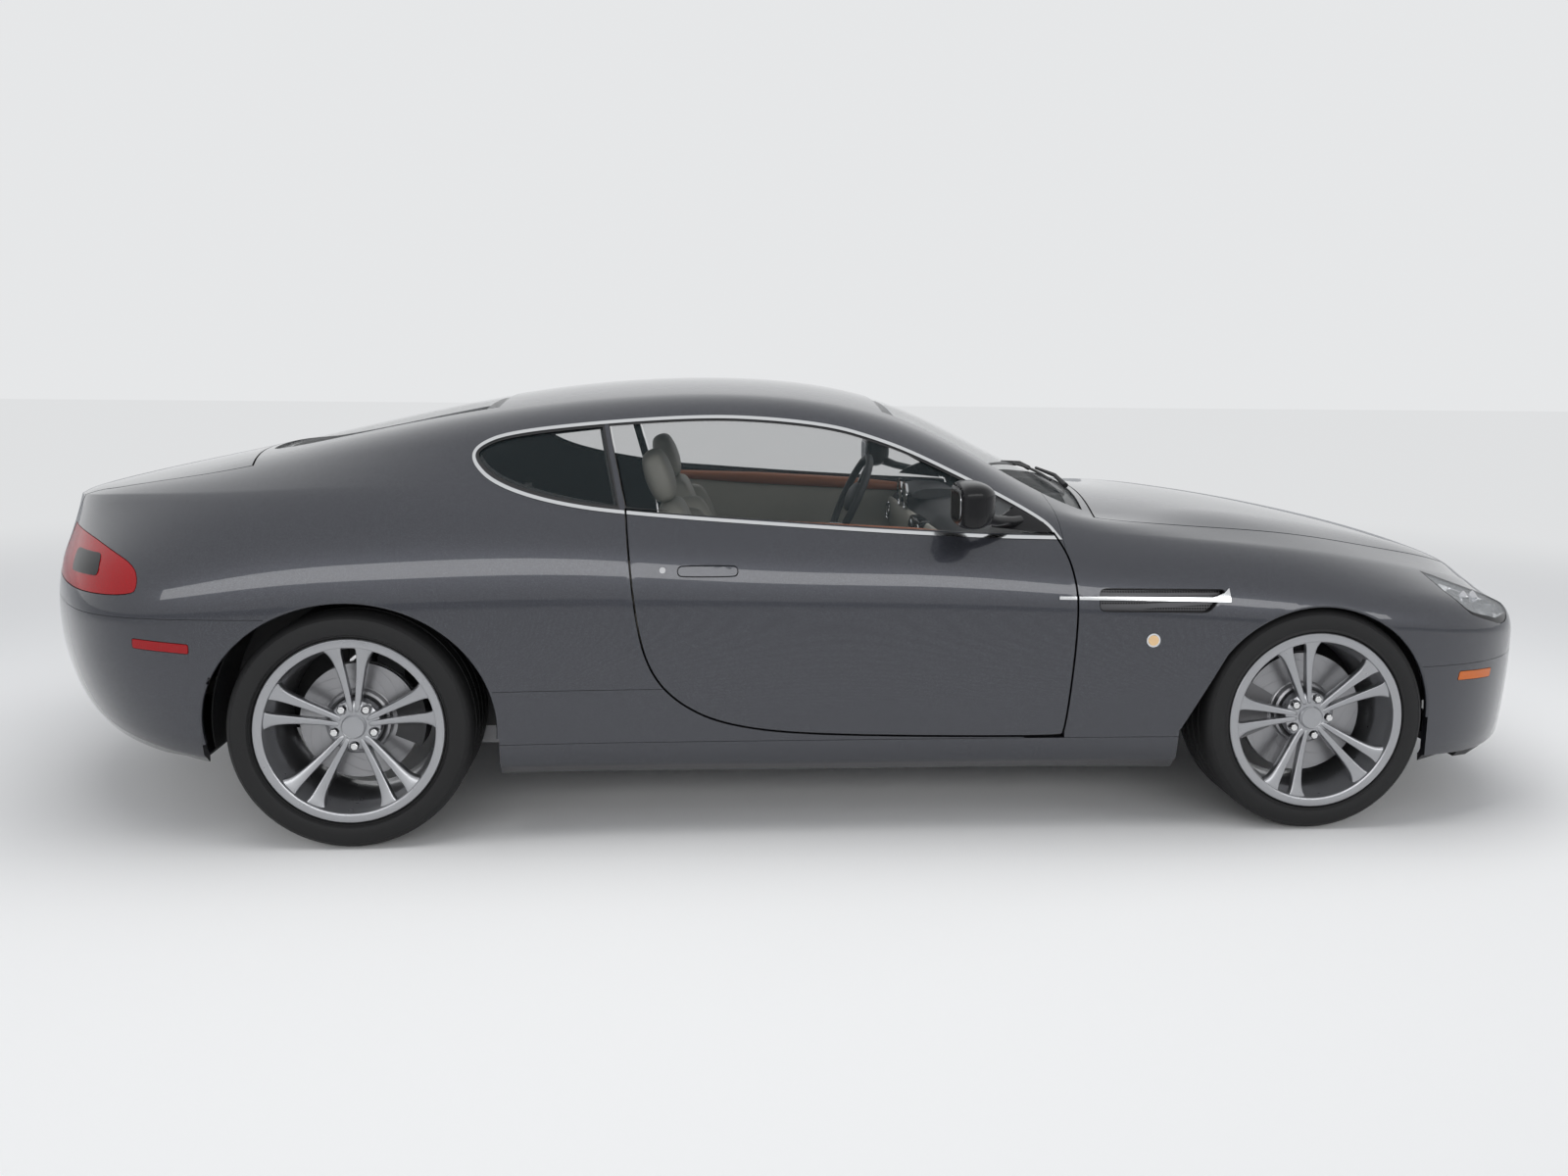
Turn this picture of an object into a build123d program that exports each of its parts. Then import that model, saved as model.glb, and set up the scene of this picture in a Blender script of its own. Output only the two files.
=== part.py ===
from build123d import *
from math import atan2, cos, degrees, radians, sin, sqrt
import os

# A two-door coupe car, 4.7 m long, standing on its four wheels.
# Millimetres.  +X is the nose, +Y the left side, +Z up; the origin is on the ground, mid-length.

# ---------------------------------------------------------------- driving sizes
FRONT_AXLE_X = 1460
REAR_AXLE_X = -1285
STEER_AXIS_Y = 729              # kingpin line, from the centre plane
GAP = 6                         # shut gap round every door and lid
SEAM = 0.3                      # gap between fixed panels that meet
SKIN = 24                       # body wall: outer skin, frame and lining together
GLASS_DEPTH = 4                 # glass lies this far under the painted surface
GLASS = 5                       # laminated glass thickness
FRAME_LIP = 2                   # window frames stand this far outside the glass lines
DOOR_STEP = 30                  # the door's frame stands in from the edge of its skin
DOOR_INNER_Y = 765              # inner face of a door
CARD = 18                       # leather door card on it
FLOOR_TOP = 215                 # cabin floor height

AXLES = {
    # name: x, wheel centre y, wheel centre z, tyre width, rim width, disc radius, arch half length, arch height
    "front": (FRONT_AXLE_X, 784, 330, 235, 216, 178, 352, 343),
    "rear": (REAR_AXLE_X, 781, 333, 275, 241, 165, 402, 366),
}
RIM_R = 258.6                   # rim flange
BEAD_R = 241
RIM_WALL = 9
LUG_CIRCLE_R = 57.15            # five nuts
LUG_COUNT = 5
LUG_R = 10.5
CAP_R = 34
SPOKE_PAIRS = 5
HUB_PAD_R = 74
MOUNT_OUT = 44                  # wheel mounting face, outboard of the rim centre
PAD = 40                        # thickness of the wheel's centre
DISC_WALL = 32
BEARING_R = 30

# Cross-sections of the body from tail to nose.  Each row is one section, right half:
# centre height; roof rail or bonnet crown; belt or wing crest with the slope of the surface above
# and below it (degrees below level); widest point; sill; underside height.
BODY = [
    # x, z_top, y_rail, z_rail, a_glass, y_belt, z_belt, a_side, y_max, z_max, y_sill, z_sill, z_floor
    (-2350, 862, 80, 861, 10, 105, 858, 62, 150, 610, 140, 480, 440),
    (-2322, 905, 130, 902, 10, 170, 897, 62, 300, 612, 265, 445, 410),
    (-2250, 938, 220, 933, 12, 330, 918, 62, 490, 614, 425, 405, 370),
    (-2150, 965, 290, 956, 14, 470, 931, 58, 650, 616, 570, 365, 330),
    (-2020, 995, 350, 980, 18, 585, 945, 48, 812, 620, 715, 322, 288),
    (-1850, 1032, 400, 1012, 22, 680, 956, 40, 895, 626, 820, 282, 250),
    (-1600, 1090, 445, 1062, 26, 752, 970, 36, 928, 634, 880, 250, 220),
    (-1285, 1165, 475, 1130, 34, 788, 985, 40, 937, 645, 898, 232, 198),
    (-850, 1249, 505, 1208, 52, 806, 962, 46, 920, 652, 885, 228, 190),
    (-330, 1292, 522, 1252, 60, 818, 905, 50, 905, 655, 876, 228, 188),
    (100, 1265, 540, 1220, 60, 818, 885, 50, 903, 652, 876, 226, 186),
    (480, 1145, 560, 1080, 58, 812, 876, 46, 905, 645, 877, 226, 186),
    (820, 980, 590, 916, 36, 790, 862, 36, 908, 635, 880, 224, 184),
    (1120, 914, 480, 896, 14, 775, 842, 26, 914, 620, 886, 220, 180),
    (1460, 886, 440, 872, 14, 765, 808, 22, 918, 605, 892, 215, 178),
    (1780, 832, 400, 819, 14, 705, 755, 20, 892, 585, 870, 212, 176),
    (2010, 778, 360, 765, 14, 612, 705, 20, 828, 565, 805, 215, 178),
    (2140, 736, 310, 724, 14, 520, 672, 20, 740, 548, 710, 225, 186),
    (2240, 690, 240, 680, 14, 400, 636, 20, 612, 530, 575, 245, 204),
    (2312, 642, 170, 636, 12, 270, 602, 20, 440, 508, 400, 275, 235),
    (2350, 580, 90, 577, 12, 150, 560, 20, 235, 480, 205, 320, 285),
]
SILL_TUCK = 35                  # underside starts this far inside the sill

# Outlines on the side of the body, in x and z.
BELT = [(690, 863), (475, 869), (76, 889), (-536, 931)]             # door's upper edge, front to rear
DOOR_LOW = [(-505, 640), (-470, 500), (-395, 405), (-258, 335), (0, 302), (712, 290), (741, 660), (724, 800)]
WINDOW_TOP = [(-596, 1166), (-314, 1184), (-120, 1178), (60, 1158), (180, 1124), (290, 1084), (440, 1013),
              (560, 955), (672, 890)]
DOOR_OUTLINE = BELT + DOOR_LOW
DOOR_WINDOW = BELT + WINDOW_TOP
DOOR_GLASS = [(x + 3, z - 14) for x, z in BELT] + WINDOW_TOP        # the pane reaches down into the door
QUARTER_WINDOW = [(-556, 928), (-752, 962), (-905, 1010), (-972, 1066), (-965, 1098), (-882, 1132), (-612, 1164)]
SCREEN = [(236, 470), (838, 600), (872, 420), (892, 200)]           # right half, x and y
REAR_SCREEN = [(-950, 440), (-1640, 400), (-1700, 200)]
BONNET = [(930, 0), (918, 300), (880, 560), (858, 672), (1120, 655), (1460, 630), (1780, 575),
          (2010, 480), (2140, 395), (2225, 300), (2400, 260), (2400, 0)]
BOOT_LID = [(-1740, 0), (-1725, 260), (-1648, 560), (-1800, 560), (-2050, 500), (-2150, 420), (-2400, 330), (-2400, 0)]
HEADLAMP = [(1885, 679), (2000, 668), (2100, 636), (2188, 580), (2205, 612), (2150, 720), (2083, 783),
            (2000, 822), (1935, 838), (1900, 780)]
TAIL_LAMP = [(-2340, 706), (-1856, 700), (-1838, 740), (-1862, 785), (-1960, 815), (-2080, 838), (-2340, 850)]
GRILLE = [(300, 566), (232, 335), (-232, 335), (-300, 566)]          # y and z
FRONT_MARKER = [(1907, 438), (1912, 462), (2043, 458), (2040, 434)]
REAR_MARKER = [(-1851, 592), (-1851, 568), (-1697, 556), (-1697, 580)]
REPEATER = (959, 574)
REPEATER_R = 20
VENT = [(808, 716), (850, 724), (1120, 721), (1172, 706), (1120, 662), (1060, 655), (850, 660)]
BONNET_LOW = 596                # lower edge of the bonnet's nose, over the grille
BOOT_LOW = 700                  # lower edge of the boot lid, over the bumper
FRONT_SPLIT = 484               # front bumper's upper edge at the arch
REAR_SPLIT = 648                # rear bumper's upper edge at the arch
LAMP_LOW = 580                  # lower edge of a headlamp
LAMP_INNER_Y = 430              # inner end of a tail lamp
GRILLE_HALF = 310               # half width of the bumper's part round the grille
SCUTTLE_HALF = 672
SPLITTER_TOP = 206              # black lip under the nose
DIFFUSER_X = -1950              # black undertray of the tail starts here
DIFFUSER_HALF = 560
DIFFUSER_TOP = 420
PIPE_Y = 470                    # tailpipes
PIPE_Z = 372
PIPE_R = 45
WING_FROM = 690                 # the wings and scuttle start here, the roof and pillars end
ROOF_REAR = -1090
ROOF_FRONT = 215
ROOF_LOW = 1076                 # seam between the roof and the rear quarter
SILL_REAR_TOP = 440             # the sill panel steps up behind the door
SILL_STEP = -200                # the rear quarter reaches forward to here under the door's rear edge
ARCH_SILL = REAR_AXLE_X + 380
FRONT_FLARE = [(FRONT_AXLE_X - 290, 530), (FRONT_AXLE_X - 406, 308), (FRONT_AXLE_X - 414, 100),
               (FRONT_AXLE_X + 362, 100), (FRONT_AXLE_X + 352, 330)]
SILL_TOP = 284
SILL_IN = 829                   # the floor's outer edge, inside the sill panel

MIRROR_X = 372                  # glass face of a door mirror
MIRROR_Y = 945
MIRROR_Z = 966
MIRROR_SIZE = (190, 140)
MIRROR_DEEP = 105
MIRROR_FOOT_Y = 804
TYRE_WALL = 14
FLANGE = 9
CARRIER_LOW = 130               # the kingpin's lower end below the axle
CARRIER_HIGH = 160
ARM = 24                        # thickness of a wishbone

RAIL_Y = 370                    # chassis rails
RAIL_HALF = 40
RAIL_LOW = 240
RAIL_TOP = 330
REAR_RAIL_LOW = 420
REAR_RAIL_TOP = 520
TOWER_Y = 470                   # front spring towers reach out to here
TOWER_TOP = 640
TOWER_HALF = 75
DAMPER_R = 30
REAR_WALL = -1000               # bulkhead behind the rear seats
TUNNEL_HALF = 115
CROSS_LOW = 172                 # underside of the cross-members
CROSS_TOP = 236
DECK_TOP = 860                  # parcel shelf
HINGE_LOW = (400, 640)          # lower edges of a door's two hinges
HINGE_HIGH = 60
LINER = 4
FRONT_LINER_R = 388
LINER_OUT = 790
REAR_LINER_R = 412
REAR_LINER_Y = 615
STEERING_X = 245                # steering wheel, in front of the left seat
STEERING_Z = 828
WHEEL_Y = 370
STEER_TILT = 24
SLATS = 7

DOOR_AXIS = (700, 893)
BONNET_AXIS = (850, 950)
BOOT_AXIS = (-1640, 1045)


# ---------------------------------------------------------------- body surface
def unit(angle):
    """Direction along a surface that falls outwards by this angle."""
    return Vector(cos(radians(angle)), -sin(radians(angle)))


def inward(angle):
    return Vector(-sin(radians(angle)), -cos(radians(angle)))


def arc_middle(start, tangent, end):
    """Middle of the arc that leaves start along tangent and reaches end."""
    normal = Vector(-tangent.Y, tangent.X)
    chord = end - start
    side = normal.dot(chord)
    if abs(side) < 1e-6:
        return (start + end) * 0.5
    radius = chord.dot(chord) / (2 * side)
    centre = start + normal * radius
    outward = (start - centre) + (end - centre)
    return centre + outward.normalized() * abs(radius)


def two_arcs(start, tangent, end, end_tangent):
    """Two arcs that join smoothly between two points with given directions."""
    chord = end - start
    both = tangent + end_tangent
    spread = 2 * (1 - tangent.dot(end_tangent))
    if spread < 1e-9:
        reach = chord.dot(chord) / (4 * chord.dot(end_tangent))
    else:
        reach = (sqrt(chord.dot(both) ** 2 + spread * chord.dot(chord)) - chord.dot(both)) / spread
    middle = (start + end + (tangent - end_tangent) * reach) * 0.5
    return [(start, arc_middle(start, tangent, middle), middle),
            (middle, arc_middle(end, end_tangent * -1, middle), end)]


def half_section(row, depth):
    """Curves of the right half of one section, depth millimetres under the painted surface."""
    x, z_top, y_rail, z_rail, a_glass, y_belt, z_belt, a_side, y_max, z_max, y_sill, z_sill, z_floor = row
    a_roof = degrees(2 * atan2(z_top - z_rail, y_rail))
    top = Vector(0, z_top - depth)
    rail = Vector(y_rail, z_rail) + inward(a_roof) * depth
    belt = Vector(y_belt, z_belt) + inward((a_glass + a_side) / 2) * depth
    widest = Vector(y_max - depth, z_max)
    sill = Vector(y_sill - depth, z_sill + 0.3 * depth)
    under = Vector(y_sill - depth - SILL_TUCK, z_floor + depth)
    curves = [(top, arc_middle(top, Vector(1, 0), rail), rail)]
    curves += two_arcs(rail, unit(a_roof), belt, unit(a_glass))
    curves += two_arcs(belt, unit(a_side), widest, Vector(0, -1))
    curves.append((widest, arc_middle(widest, Vector(0, -1), sill), sill))
    curves.append((sill, None, under))
    return curves


def section_wire(x, curves):
    """Closed right half of a section, down the centre plane."""
    edges = []
    for start, middle, end in curves:
        points = [Vector(x, -p.X, p.Y) for p in (start, middle, end) if p is not None]
        edges.append(Edge.make_line(*points) if len(points) == 2 else Edge.make_three_point_arc(*points))
    top, end = curves[0][0], curves[-1][2]
    edges.append(Edge.make_line(Vector(x, -end.X, end.Y), Vector(x, 0, end.Y)))
    edges.append(Edge.make_line(Vector(x, 0, end.Y), Vector(x, 0, top.Y)))
    return Wire(edges)


def half_body(depth):
    """Solid right half of the body, depth millimetres under its painted surface."""
    wires = []
    for row in BODY:
        x = row[0]
        if row is BODY[0]:
            x += depth
        if row is BODY[-1]:
            x -= depth
        wires.append(section_wire(x, half_section(row, depth)))
    return Solid.make_loft(wires, ruled=True)


# ---------------------------------------------------------------- cutting shapes
def side_prism(points, y_from, y_to, grow=0):
    """Right-hand prism through the car's side: an outline in x and z, between two distances from the middle."""
    outline = make_face(Polyline(*[(x, z) for x, z in points], close=True))
    if grow:
        outline = offset(outline, amount=grow, kind=Kind.INTERSECTION)
    plane = Plane(origin=(0, -y_from, 0), x_dir=(1, 0, 0), z_dir=(0, -1, 0))
    return extrude(plane * outline, amount=y_to - y_from)


def plan_prism(points, z_from, z_to, grow=0):
    """Upright prism from the right half of a plan outline, x and y, mirrored over the centre."""
    closed = [(x, -y) for x, y in points] + [(x, y) for x, y in reversed(points) if y > 0]
    outline = make_face(Polyline(*closed, close=True))
    if grow:
        outline = offset(outline, amount=grow, kind=Kind.INTERSECTION)
    return extrude(Plane.XY.offset(z_from) * outline, amount=z_to - z_from)


def block(x0, x1, y0, y1, z0, z1):
    return Pos((x0 + x1) / 2, (y0 + y1) / 2, (z0 + z1) / 2) * Box(x1 - x0, y1 - y0, z1 - z0)


def across(radius, x, z, y_from, y_to, top=None):
    """Cylinder across the car between two y values; with top, an ellipse that high."""
    low, high = min(y_from, y_to), max(y_from, y_to)
    outline = Circle(radius) if top is None else Ellipse(radius, top)
    plane = Plane(origin=(x, low, z), x_dir=(1, 0, 0), z_dir=(0, -1, 0))
    return extrude(plane * outline, amount=-(high - low))


def flip(shape):
    """Mirror image on the left side."""
    return mirror(shape, about=Plane.XZ)


def both(shape):
    """The right-hand shape and its mirror image."""
    return [shape, flip(shape)]


def whole(shape):
    """A panel that crosses the centre plane, from its right half."""
    return shape + flip(shape)


def carve(shape, *tools):
    """Cut the tools away one after another."""
    for tool in tools:
        shape = shape - tool
    return shape


def solids_of(shapes):
    found = []
    for shape in shapes:
        found += [s for s in shape.solids() if s.volume > 5000]
    return found


def write(name, *shapes):
    found = solids_of(shapes)
    export_step(Compound(children=found) if len(found) > 1 else found[0], "parts/" + name + ".step")


os.makedirs("parts", exist_ok=True)

# ---------------------------------------------------------------- body panels, right half
painted = half_body(0)
lining = half_body(SKIN)
shell = painted - lining

# wheel arches, open through the skin; the front one runs back to the sill
arch_cuts = []
for x, y, z, tyre, rim, disc, arch_half, arch_high in AXLES.values():
    arch_cuts.append(across(arch_half, x, z, -1000, -560, arch_high))
    arch_cuts.append(block(x - arch_half, x + arch_half, -1000, -560, 100, z))
arch_cuts.append(side_prism(FRONT_FLARE, 560, 1000))
underside = block(-1960, 1960, -SILL_IN - SEAM, 1, 100, 245)

door_hole = side_prism(DOOR_OUTLINE, 500, 1000, GAP)
window_hole = side_prism(DOOR_WINDOW, 300, 1000, FRAME_LIP)
quarter_hole = side_prism(QUARTER_WINDOW, 300, 1000, FRAME_LIP)
screen_hole = plan_prism(SCREEN, 900, 1400, FRAME_LIP)
rear_screen_hole = plan_prism(REAR_SCREEN, 1000, 1400, FRAME_LIP)

cabin = carve(shell & block(ROOF_REAR, WING_FROM, -1000, 1, 100, 1400), door_hole, window_hole, quarter_hole,
              screen_hole, rear_screen_hole, underside, *arch_cuts[2:4])
roof_panel = cabin & block(ROOF_REAR, ROOF_FRONT, -1000, 1, ROOF_LOW, 1400)
pillar_frame = cabin & block(ROOF_FRONT + SEAM, WING_FROM, -1000, 1, 840, 1400)
pillar_quarter = cabin & block(ROOF_REAR, SILL_STEP, -1000, 1, SILL_REAR_TOP + SEAM, ROOF_LOW - SEAM)
sill = cabin & block(ARCH_SILL, WING_FROM, -1000, 1, 100, SILL_REAR_TOP)

# nose
nose = carve(shell & block(WING_FROM, 2400, -1000, 1, 100, 1400), door_hole, underside, arch_cuts[0], arch_cuts[1],
             arch_cuts[4])
bonnet_hole = plan_prism(BONNET, BONNET_LOW - GAP, 1400, GAP)
scuttle_box = block(WING_FROM + SEAM, 1000, -SCUTTLE_HALF, 1, 800, 1400)
front_sill_box = block(WING_FROM, FRONT_AXLE_X - 300, -1000, 1, 100, SILL_TOP)
nose_cap = block(2100, 2400, -GRILLE_HALF, 1, 100, BONNET_LOW - GAP)
bumper_box = block(FRONT_AXLE_X, 2400, -1000, 1, SPLITTER_TOP + SEAM, FRONT_SPLIT)
lamp_outline = make_face(Polyline(*[(x, -y) for x, y in HEADLAMP], close=True))
lamp_prism = extrude(Plane.XY.offset(LAMP_LOW) * lamp_outline, amount=400)
lamp_hole = extrude(Plane.XY.offset(LAMP_LOW - SEAM) * offset(lamp_outline, amount=SEAM), amount=400)
grille_hole = extrude(Plane.YZ.offset(2000) * make_face(Polyline(*GRILLE, close=True)), amount=400)
vent_hole = extrude(Plane.XZ.offset(800) * make_face(Polyline(*VENT, close=True)), amount=200)
bonnet = nose & plan_prism(BONNET, BONNET_LOW, 1400)
headlamp = nose & lamp_prism
front_bumper = (nose & (bumper_box + nose_cap)) - [grille_hole, block(FRONT_AXLE_X, 2400, -1000, 1, 100,
                                                                       SPLITTER_TOP + SEAM)]
splitter = nose & block(FRONT_AXLE_X, 2400, -1000, 1, 100, SPLITTER_TOP)
scuttle = (nose & scuttle_box) - [bonnet_hole, screen_hole]
front_sill = nose & front_sill_box
wing = carve(nose, bonnet_hole, block(FRONT_AXLE_X, 2400, -1000, 1, 100, FRONT_SPLIT + SEAM),
             block(2100 - SEAM, 2400, -GRILLE_HALF - SEAM, 1, 100, BONNET_LOW),
             block(WING_FROM - 2, 1000, -SCUTTLE_HALF - SEAM, 1, 800, 1400),
             block(WING_FROM - 2, FRONT_AXLE_X - 299, -1000, 1, 100, SILL_TOP + SEAM), lamp_hole, vent_hole)

# side lamps, flush in the bumpers and wings
marker_front = side_prism(FRONT_MARKER, 700, 1000)
marker_rear = side_prism(REAR_MARKER, 700, 1000)
repeater_hole = across(REPEATER_R, REPEATER[0], REPEATER[1], -1000, -800)
amber_marker = front_bumper & marker_front
front_bumper -= side_prism(FRONT_MARKER, 700, 1000, SEAM)
repeater = wing & across(REPEATER_R - SEAM, REPEATER[0], REPEATER[1], -1000, -800)
wing -= repeater_hole

# tail
tail = carve(shell & block(-2400, ROOF_REAR - SEAM, -1000, 1, 100, 1400), underside, arch_cuts[2], arch_cuts[3],
             rear_screen_hole)
boot_hole = plan_prism(BOOT_LID, BOOT_LOW - GAP, 1400, GAP)
tail_outline = make_face(Polyline(*TAIL_LAMP, close=True))
tail_plane = Plane(origin=(0, -LAMP_INNER_Y, 0), x_dir=(1, 0, 0), z_dir=(0, -1, 0))
tail_lamp_hole = extrude(tail_plane.offset(-SEAM) * offset(tail_outline, amount=SEAM), amount=600)
pipe_hole = Pos(-2100, -PIPE_Y, PIPE_Z) * Rot(0, 90, 0) * Cylinder(PIPE_R + 8, 700)
boot_lid = tail & plan_prism(BOOT_LID, BOOT_LOW, 1400)
tail_lamp = tail & extrude(tail_plane * tail_outline, amount=600)
rear_bumper = carve(tail & block(-2400, REAR_AXLE_X, -1000, 1, 100, REAR_SPLIT),
                    block(-2400, DIFFUSER_X + SEAM, -DIFFUSER_HALF - SEAM, 1, 100, DIFFUSER_TOP + SEAM), pipe_hole)
red_marker = rear_bumper & marker_rear
rear_bumper -= side_prism(REAR_MARKER, 700, 1000, SEAM)
diffuser = (tail & block(-2400, DIFFUSER_X, -DIFFUSER_HALF, 1, 100, DIFFUSER_TOP)) - pipe_hole
tail_quarter = carve(tail, boot_hole, tail_lamp_hole, block(-2400, REAR_AXLE_X, -1000, 1, 100, REAR_SPLIT + SEAM),
                     block(REAR_AXLE_X - 1, ROOF_REAR, -1000, 1, 100, SILL_REAR_TOP + SEAM))

# glass
band = half_body(GLASS_DEPTH) - half_body(GLASS_DEPTH + GLASS)
door_glass = band & side_prism(DOOR_GLASS, 300, 1000, FRAME_LIP - GAP)
quarter_glass = band & side_prism(QUARTER_WINDOW, 300, 1000, FRAME_LIP - SEAM)
windscreen = band & plan_prism(SCREEN, 900, 1400, FRAME_LIP - SEAM)
rear_glass = band & plan_prism(REAR_SCREEN, 1000, 1400, FRAME_LIP - SEAM)

# door: the frame behind its skin stands in from the edge, so that it swings into the opening
door_block = side_prism(DOOR_OUTLINE, DOOR_INNER_Y, 1000)
door_frame = side_prism(DOOR_OUTLINE, DOOR_INNER_Y - 1, 1000, -DOOR_STEP)
door = (painted & door_block) - (lining & (door_block - door_frame))
door -= door_glass
door_card = side_prism(DOOR_OUTLINE, DOOR_INNER_Y - SEAM - CARD, DOOR_INNER_Y - SEAM, -DOOR_STEP - 20)
mirror_head = Pos(MIRROR_X, -MIRROR_Y, MIRROR_Z) * extrude(Plane.YZ * RectangleRounded(*MIRROR_SIZE, 42), amount=MIRROR_DEEP,
                                                           taper=9)
mirror_stalk = block(MIRROR_X + 40, MIRROR_X + 100, -MIRROR_Y, -MIRROR_FOOT_Y, MIRROR_Z - 96, MIRROR_Z - 56)
door_mirror = (mirror_head + mirror_stalk) - painted


# ---------------------------------------------------------------- wheels and what carries them
def ring(points, y):
    """Turn a profile of radius and outward offset about the axle."""
    outline = make_face(Polyline(*[(r, -offset_out) for r, offset_out in points], close=True))
    return Pos(0, -y, 0) * revolve(outline, Axis.Y)


def tyre(width, rim, radius):
    half = rim / 2 - 1
    wide = width / 2
    outer = [(BEAD_R + SEAM, half), (RIM_R + 4, half + 1), (RIM_R + 24, wide), (radius - 7, wide - 14),
             (radius, wide - 34)]
    inner = [(BEAD_R + SEAM, half - TYRE_WALL), (RIM_R + 40, wide - TYRE_WALL - 2), (radius - TYRE_WALL, wide - 40)]
    profile = outer + [(r, -w) for r, w in reversed(outer)] + [(r, -w) for r, w in inner] + list(reversed(inner))
    return profile


def rim_profile(rim):
    flange = rim / 2 + FLANGE
    seat = rim / 2 - 18
    well = 206
    outer = [(RIM_R, flange), (RIM_R, flange - FLANGE + SEAM), (BEAD_R, rim / 2), (BEAD_R, seat),
             (BEAD_R - 8, seat - 8), (BEAD_R - 18, 0), (BEAD_R - 18, -seat + 30), (BEAD_R, -seat), (BEAD_R, -rim / 2),
             (RIM_R, -flange + FLANGE - SEAM), (RIM_R, -flange)]
    inner = [(BEAD_R - 6, -flange), (BEAD_R - RIM_WALL, -seat), (BEAD_R - 18 - RIM_WALL, -seat + 30),
             (BEAD_R - 18 - RIM_WALL, 0), (BEAD_R - 10 - RIM_WALL, seat - 8), (BEAD_R - 7, flange)]
    return outer + inner


def spoke(side):
    """One bar of a split spoke, its inner edge next to the slot; side is -1 or 1."""
    inner_edge = [(28, 1.5), (130, 15), (228, 23)]
    outer_edge = [(234, 84), (222, 70), (196, 48), (130, 33), (80, 24), (28, 14)]
    return [(side * across_, r) for r, across_ in inner_edge + outer_edge]


def road_wheel(y, rim):
    """Cast wheel: rim barrel, centre pad, five split spokes, nuts and centre cap."""
    barrel = ring(rim_profile(rim), y)
    face = rim / 2 + FLANGE
    pad_out = MOUNT_OUT + PAD
    # the spokes' front falls from the rim to the centre pad; their back leaves room for the brake
    envelope = ring([(0, pad_out), (60, pad_out), (150, pad_out + 0.62 * (face - pad_out)), (BEAD_R - 1, face - 3), (BEAD_R - 1, face - 36),
                     (150, MOUNT_OUT + 14), (HUB_PAD_R, MOUNT_OUT), (0, MOUNT_OUT)], y)
    bars = []
    for pair in range(SPOKE_PAIRS):
        for side in (-1, 1):
            outline = make_face(Polyline(*spoke(side), close=True))
            plane = Plane(origin=(0, -y - MOUNT_OUT + 10, 0), x_dir=(1, 0, 0), z_dir=(0, -1, 0))
            bars.append(extrude(plane * (Rot(0, 0, 360 / SPOKE_PAIRS * pair) * outline), amount=100))
    wheel = barrel
    for bar in bars:
        wheel += envelope & bar
    wheel += across(HUB_PAD_R, 0, 0, -y - MOUNT_OUT, -y - pad_out + 14)
    wheel += across(CAP_R, 0, 0, -y - MOUNT_OUT - 6, -y - pad_out - 6)
    for nut in range(LUG_COUNT):
        angle = radians(90 + 180 / LUG_COUNT + 360 / LUG_COUNT * nut)
        x, z = LUG_CIRCLE_R * cos(angle), LUG_CIRCLE_R * sin(angle)
        wheel += across(LUG_R, x, z, -y - pad_out + 20, -y - pad_out - 8)
    return wheel


def brake_disc(y, radius):
    """Disc, hat and the hub's stub shaft."""
    face = y + MOUNT_OUT
    disc = across(radius, 0, 0, -face + 22, -face + 22 + DISC_WALL)
    hat = across(84, 0, 0, -face, -face + 22 + DISC_WALL)
    shaft = across(BEARING_R, 0, 0, -face + 22 + DISC_WALL, -face + 128)
    return disc + hat + shaft


def caliper(y, radius, heading):
    """Brake caliper over the disc; heading is 1 ahead of the axle, -1 behind it."""
    face = y + MOUNT_OUT
    out, inner = -face + 10, -face + 94
    body = across(radius + 22, 0, 0, out, inner) - across(108, 0, 0, out - 1, inner + 1)
    wedge = make_face(Polyline((0, 0), (heading * 260, 150), (heading * 260, -110), close=True))
    body = body & extrude(Plane(origin=(0, 0, 0), x_dir=(1, 0, 0), z_dir=(0, -1, 0)) * wedge, amount=2000)
    return body - across(radius + 4, 0, 0, -face + 18, -face + 26 + DISC_WALL)


def upright(y, radius, heading):
    """Wheel carrier: bearing housing, kingpin plate, caliper and its bracket."""
    face = y + MOUNT_OUT
    near = -face + 22 + DISC_WALL + 6
    body = across(62, 0, 0, near, near + 66)
    body += block(-28, 28, near + 8, near + 46, -CARRIER_LOW, CARRIER_HIGH)
    body += block(min(0, heading * 150), max(0, heading * 150), near + 8, near + 34, -34, 34)
    body += caliper(y, radius, heading)
    return body - across(BEARING_R + SEAM, 0, 0, near - 30, near + 100)


for axle, (x, y, z, width, rim, disc, arch_half, arch_high) in AXLES.items():
    for label, turn in (("right", False), ("left", True)):
        at = Pos(x, 0, z)
        for name, shape in (("tyre", ring(tyre(width, rim, z), y)), ("wheel", road_wheel(y, rim)),
                            ("brake_disc", brake_disc(y, disc))):
            placed = at * shape
            write(name + "_" + axle + "_" + label, flip(placed) if turn else placed)

# ---------------------------------------------------------------- suspension, fixed and steered parts
def arm(x, z, inner_y, spread):
    """One wishbone, from its two seats on the chassis out to the kingpin line."""
    outer = [(x - spread, -inner_y), (x + spread, -inner_y), (x + 22, -STEER_AXIS_Y - 18), (x - 22, -STEER_AXIS_Y - 18)]
    inner = [(x - spread + 34, -inner_y - 26), (x + spread - 34, -inner_y - 26), (x + 4, -STEER_AXIS_Y + 90),
             (x - 4, -STEER_AXIS_Y + 90)]
    outline = make_face(Polyline(*outer, close=True)) - make_face(Polyline(*inner, close=True))
    return extrude(Plane.XY.offset(z) * outline, amount=ARM)


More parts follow.
